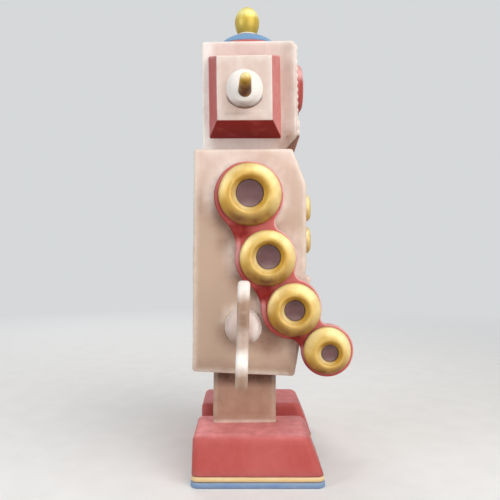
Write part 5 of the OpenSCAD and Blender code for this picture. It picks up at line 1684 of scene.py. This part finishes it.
ear_low, ear_high = corners_of("ear_blocks")
ear_reach = ear_high.y - head_half
ear_x, _, ear_z = (ear_low + ear_high) / 2
ear_wide, _, ear_tall = (ear_high - ear_low) / 2
slope = EAR_BEVEL / ear_reach
up_slope = ((0.5, 0.5), (1.5, 0.1), (4.0, 0.0), (9.0, 0.0), (ear_reach - 4, 0.0), (ear_reach - 1.6, 0.2))
ear_layers = [(-0.3, 0.0, 0.0, True), (0.1, 0.0, 0.9, True)]
ear_layers += [(out, out * slope, paleness, True) for out, paleness in up_slope]
ear_layers += [(ear_reach - EAR_ROLL * (1 - s), EAR_BEVEL - 0.2 + EAR_ROLL * (1 - c), 0.4 + 1.2 * s * c, True)
               for c, s in quarter(4, 16)]
ear_layers += [(ear_reach, EAR_BEVEL + EAR_ROLL + gap, paleness, False) for gap, paleness in NEAR]
ear_coats = [0] * 9 + [1] * (len(ear_layers) - 10)
ear_outline = rounded_outline(box_corners(-ear_wide, -ear_tall, ear_wide, ear_tall), 0.9)
ears = new_shape()
for side in (-1, 1):
    seat = on_side(ear_x, ear_z, head_half, side)
    lofted(ears, ear_outline, ear_layers, seat, cap_low=False, coats=ear_coats)
score(ears, 2, ear_z - ear_tall + 8, ear_z + ear_tall - 8, 4.0)


def ear_rule(p, wear, wash):
    """Deep red on the lower slope, which reaches down a little, partly its paint and partly painted shade;
    painted shade on the back slope, less deep; a painted highlight on the front one. The flat end darkens
    lower down.
    """
    out, below = abs(p.y) - head_half, ear_z - p.z
    if out > ear_reach - 0.6:
        wear *= 1 - 0.8 * ease(below, ear_tall - 12, ear_tall - 7)
        return wear, 0.06 + 0.12 * ease(below, -2, ear_tall)
    drawn_in = 0.6 + out * slope
    # Painted shade on the lower and back slopes, a painted highlight on the front one.
    if below > ear_tall - drawn_in:
        wear, wash = 0.0, 1.15
    elif ear_x - p.x > ear_wide - drawn_in:
        wash = 0.25
    elif p.x - ear_x > ear_wide - drawn_in:
        wear = max(wear, 0.45)
    p.z -= EAR_FOOT * (1 - out / ear_reach) * ease(below / (ear_tall - out * slope), 0.5, 1.0)
    return wear, wash


repaint(ears, ear_rule)
make_piece("ear_boxes", ears, "red_paint cream_paint", "head", "ear_blocks")

# %% Ear domes and rods
EAR_DOME_R = 8.9
EAR_DOME_H = 5.5
EAR_ROD_R = 3.2
EAR_TIP_R = 2.75
ROD_DROP = 3.6
ROD_AHEAD = 0.7
DOME_LINE = 1.3

rod_length = corners_of("ear_rods")[1].y - ear_high.y
bore = EAR_ROD_R - 0.4
# The dome is darker where the rod comes out of it: painted shade.
dome_profile = [(bore, 0.0, 0.0, 0.0), (EAR_DOME_R + 0.1, 0.0, 0.0, 0.0), (EAR_DOME_R + 0.1, 0.25, 0.0, 0.0)]
for k, (c, s) in enumerate(quarter(12)):
    radius = EAR_DOME_R - (EAR_DOME_R - EAR_ROD_R) * s
    dome_profile.append((radius, 0.3 + dome_height(radius, EAR_DOME_R, EAR_DOME_H), 0.2, 0.45 * (k > 10)))
dome_profile += [(bore, 4.0, 0.0, 0.8), (bore, 0.0, 0.0, 0.8)]
rod_profile = [(0.0, -TIN, 0.0, 0.0), (EAR_ROD_R - 0.5, -TIN, 0.0, 0.0), (EAR_ROD_R - 0.5, 3.6, 0.0, 0.5),
               (EAR_ROD_R, 4.3, 0.0, 0.6), (EAR_ROD_R, EAR_DOME_H, 0.1, 0.35)]
for share in (0.2, 0.4, 0.6, 0.8):
    rod_profile.append((EAR_ROD_R + (EAR_TIP_R - EAR_ROD_R) * share,
                        EAR_DOME_H + (rod_length - EAR_TIP_R - EAR_DOME_H) * share, 0.6, 0.1))
rod_profile += [(EAR_TIP_R * c, rod_length - EAR_TIP_R * (1 - s), 1.3, 0.0) for c, s in quarter(8)]
domes = new_shape()
rods = new_shape()
for side in (-1, 1):
    seat = on_side(ear_x, ear_z, ear_high.y, side)
    turned(domes, dome_profile, seat, 72)
    turned(rods, rod_profile, lambda u, v, w: seat(u + ROD_AHEAD * w / rod_length,
                                                   v - ROD_DROP * (1 - w / rod_length), w), 40)


def dome_rule(p, wear, wash):
    """A painted shadow line under the dome, and painted shade on its lower part; the hole in its top moves
    with the rod.
    """
    flat = Vector((p.x - ear_x, p.z - ear_z))
    below = -flat.y / EAR_DOME_R
    if flat.length > EAR_DOME_R + 0.05:
        flat *= 1 + DOME_LINE / EAR_DOME_R * ease(below, 0.1, 0.7)
        p.x, p.z = ear_x + flat.x, ear_z + flat.y
        return wear, 1.2 * ease(below, 0.2, 0.6)
    with_rod = ease(flat.length, EAR_DOME_R, EAR_ROD_R)
    p.x += with_rod * ROD_AHEAD * EAR_DOME_H / rod_length
    p.z -= with_rod * ROD_DROP * (1 - EAR_DOME_H / rod_length)
    return wear, max(wash, 0.75 * ease(below, 0.55, 1.0))


repaint(domes, dome_rule)
# Painted highlight on the upper side of the rod and its tip, painted shade under it, darkest underneath.
repaint(rods, lambda p, wear, wash: (wear * ease(p.z - ear_z, -1.8, 0.8),
                                     max(wash, ease(ear_z - p.z, 0.0, 3.8))))
make_piece("ear_knobs", domes, "white_paint", "head", "ear_domes")
make_piece("ear_horns", rods, "horn_paint", "head", "ear_rods")

# %% [markdown]
# ## Crown and finial
# The crown is a flat dome in two colours, a red band below a blue cap, with a gold egg on a white collar on
# top. All of it is turned work: a lathe profile for each colour, following one ball for the dome.

# %% Crown
CROWN_R = 21.5
CROWN_H = 13.5
BAND_H = 5.3
CROWN_X = -1.0
CROWN_SINK = 0.6
CROWN_BORE = 1.6

crown_base = head_high.z - CROWN_SINK
crown_ball = (CROWN_R ** 2 + CROWN_H ** 2) / (2 * CROWN_H)


def crown_radius(height):
    """Radius of the crown's ball at a height over the head."""
    return math.sqrt(max(crown_ball ** 2 - (height + crown_ball - CROWN_H) ** 2, 0.0))


def crown_piece(name, profile, around, paint, stands_for):
    """Turns a profile on the crown's axis."""
    shape = new_shape()
    turned(shape, profile, lambda u, v, w: (CROWN_X + u, v, crown_base + w), around)
    make_piece(name, shape, paint, "head", stands_for)


foot_r, edge_r = crown_radius(0.0), crown_radius(BAND_H)
# Painted shade where the band sits on the head and where the cap's edge meets the band.
band_profile = [(foot_r - TIN, -0.1, 0.0, 0.0), (foot_r, -0.1, 0.0, 0.7)]
band_profile += [(crown_radius(BAND_H * k / 8), BAND_H * k / 8, 0.3 * (k > 6), 0.5 * (k < 2))
                 for k in range(9)]
band_profile += [(edge_r - TIN, BAND_H, 0.0, 0.0), (foot_r - TIN, -0.1, 0.0, 0.0)]
cap_profile = [(edge_r - 1.6, BAND_H, 0.0, 0.4), (edge_r + 0.05, BAND_H + 0.05, 0.4, 0.3)]
heights = [BAND_H + (CROWN_H - BAND_H) * s for c, s in quarter(15)[1:14]]
cap_profile += [(crown_radius(height), height, 0.1, 0.0) for height in heights]
cap_profile += [(CROWN_BORE, CROWN_H, 0.0, 0.5), (CROWN_BORE, CROWN_H - TIN, 0.0, 0.5),
                (12.0, CROWN_H - 3.4, 0.0, 0.5), (edge_r - 1.6, BAND_H, 0.0, 0.4)]
crown_piece("crown_red_band", band_profile, 96, "red_paint", "crown_band")
crown_piece("crown_blue_cap", cap_profile, 96, "blue_paint", "crown_cap")

# %% Finial
FINIAL_R = 6.95
FINIAL_FOOT = 5.1
FINIAL_WIDE = 0.45

finial_top = corners_of("finial")[1].z
egg_base = CROWN_H + 0.3
egg_h = finial_top - head_high.z - egg_base
wide_at = egg_h * FINIAL_WIDE
# The collar is darker where it sits on the cap: painted shade.
collar_profile = [
    (CROWN_BORE, CROWN_H - 0.6, 0.0, 0.2), (FINIAL_FOOT + 1.1, CROWN_H - 0.75, 0.0, 0.6),
    (FINIAL_FOOT + 0.9, CROWN_H - 0.3, 0.3, 0.2), (FINIAL_FOOT + 0.5, CROWN_H + 0.1, 0.5, 0.0),
    (FINIAL_FOOT, egg_base, 0.3, 0.2), (CROWN_BORE, egg_base, 0.0, 0.4),
    (CROWN_BORE, CROWN_H - 0.6, 0.0, 0.2)]
# Painted shade on the egg's lower part, and a band of painted highlight over its upper part.
egg_profile = [(0.0, egg_base, 0.0, 0.5), (FINIAL_FOOT - 0.3, egg_base, 0.0, 0.7)]
for k in range(11):
    radius = FINIAL_R - (FINIAL_R - FINIAL_FOOT) * (1 - k / 10) ** 2
    egg_profile.append((radius, egg_base + wide_at * k / 10, 0.1, 0.35 + 0.2 * ease(k, 6, 0)))
for k, (c, s) in list(enumerate(quarter(15)))[1:]:
    shine = 1.5 * ease(k, 0, 5) * (1 - 0.8 * ease(k, 6, 11))
    egg_profile.append((FINIAL_R * c, egg_base + wide_at + (egg_h - wide_at) * s, shine, 0.3 * ease(k, 3, 0)))
crown_piece("finial_ring", collar_profile, 64, "white_paint", "finial_collar")
crown_piece("finial_egg", egg_profile, 64, "lemon_paint", "finial")

# %% [markdown]
# ## The head's lean
# Seen square from the side, the real head isn't quite upright: it leans back by about one degree, stands a
# little higher than drawn, and its top rises towards the face. Every piece of the head is moved by the same
# small rule here, so they stay together. Only the floor stays down, on the neck.

# %% Lean the head
LEAN_BACK = 0.014
TOP_RISE = 0.016
HEAD_RISE = 0.3

for name in head_pieces:
    for vertex in bpy.data.objects[name].data.vertices:
        x, y, z = vertex.co / MM
        share = max(0.0, min(1.0, (z - head_low.z) / (head_high.z - head_low.z)))
        rise = 0.0 if name == "head_floor_plate" else HEAD_RISE * (1 + share)
        vertex.co = Vector((x - LEAN_BACK * (z - ear_z), y, z + rise + TOP_RISE * x * share)) * MM
print(len(head_pieces), "head pieces lean back")

# %% [markdown]
# ## Clockwork
# The motor inside the body shows only from below or with the cover off. Its solids are already right, with
# real teeth and coils, so they stay, and only get the brushed brass and steel that such works are made of.

# %% Clockwork finishes
BRASS_NODES = ("shoulder_bushes", "motor_plate_right", "motor_plate_left", "great_wheel", "drive_wheel",
               "third_wheel", "governor_fan")
STEEL_NODES = ("neck_tube", "neck_clip", "hip_axle", "motor_pillars", "mainspring", "winding_arbor",
               "ratchet_wheel", "click", "crank_arbor", "leg_cranks", "third_arbor", "governor_arbor",
               "shoulder_pin_right", "shoulder_pin_left")
for metal, titles in ((brass_metal, BRASS_NODES), (steel_metal, STEEL_NODES)):
    for title in titles:
        frame["nodes"][title].data.materials.clear()
        frame["nodes"][title].data.materials.append(metal)
print(len(BRASS_NODES), "brass and", len(STEEL_NODES), "steel nodes")

# %% Measure and finish
low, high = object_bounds()
print("visual box", [round((b - a) / MM, 1) for a, b in zip(low, high)], "mm")
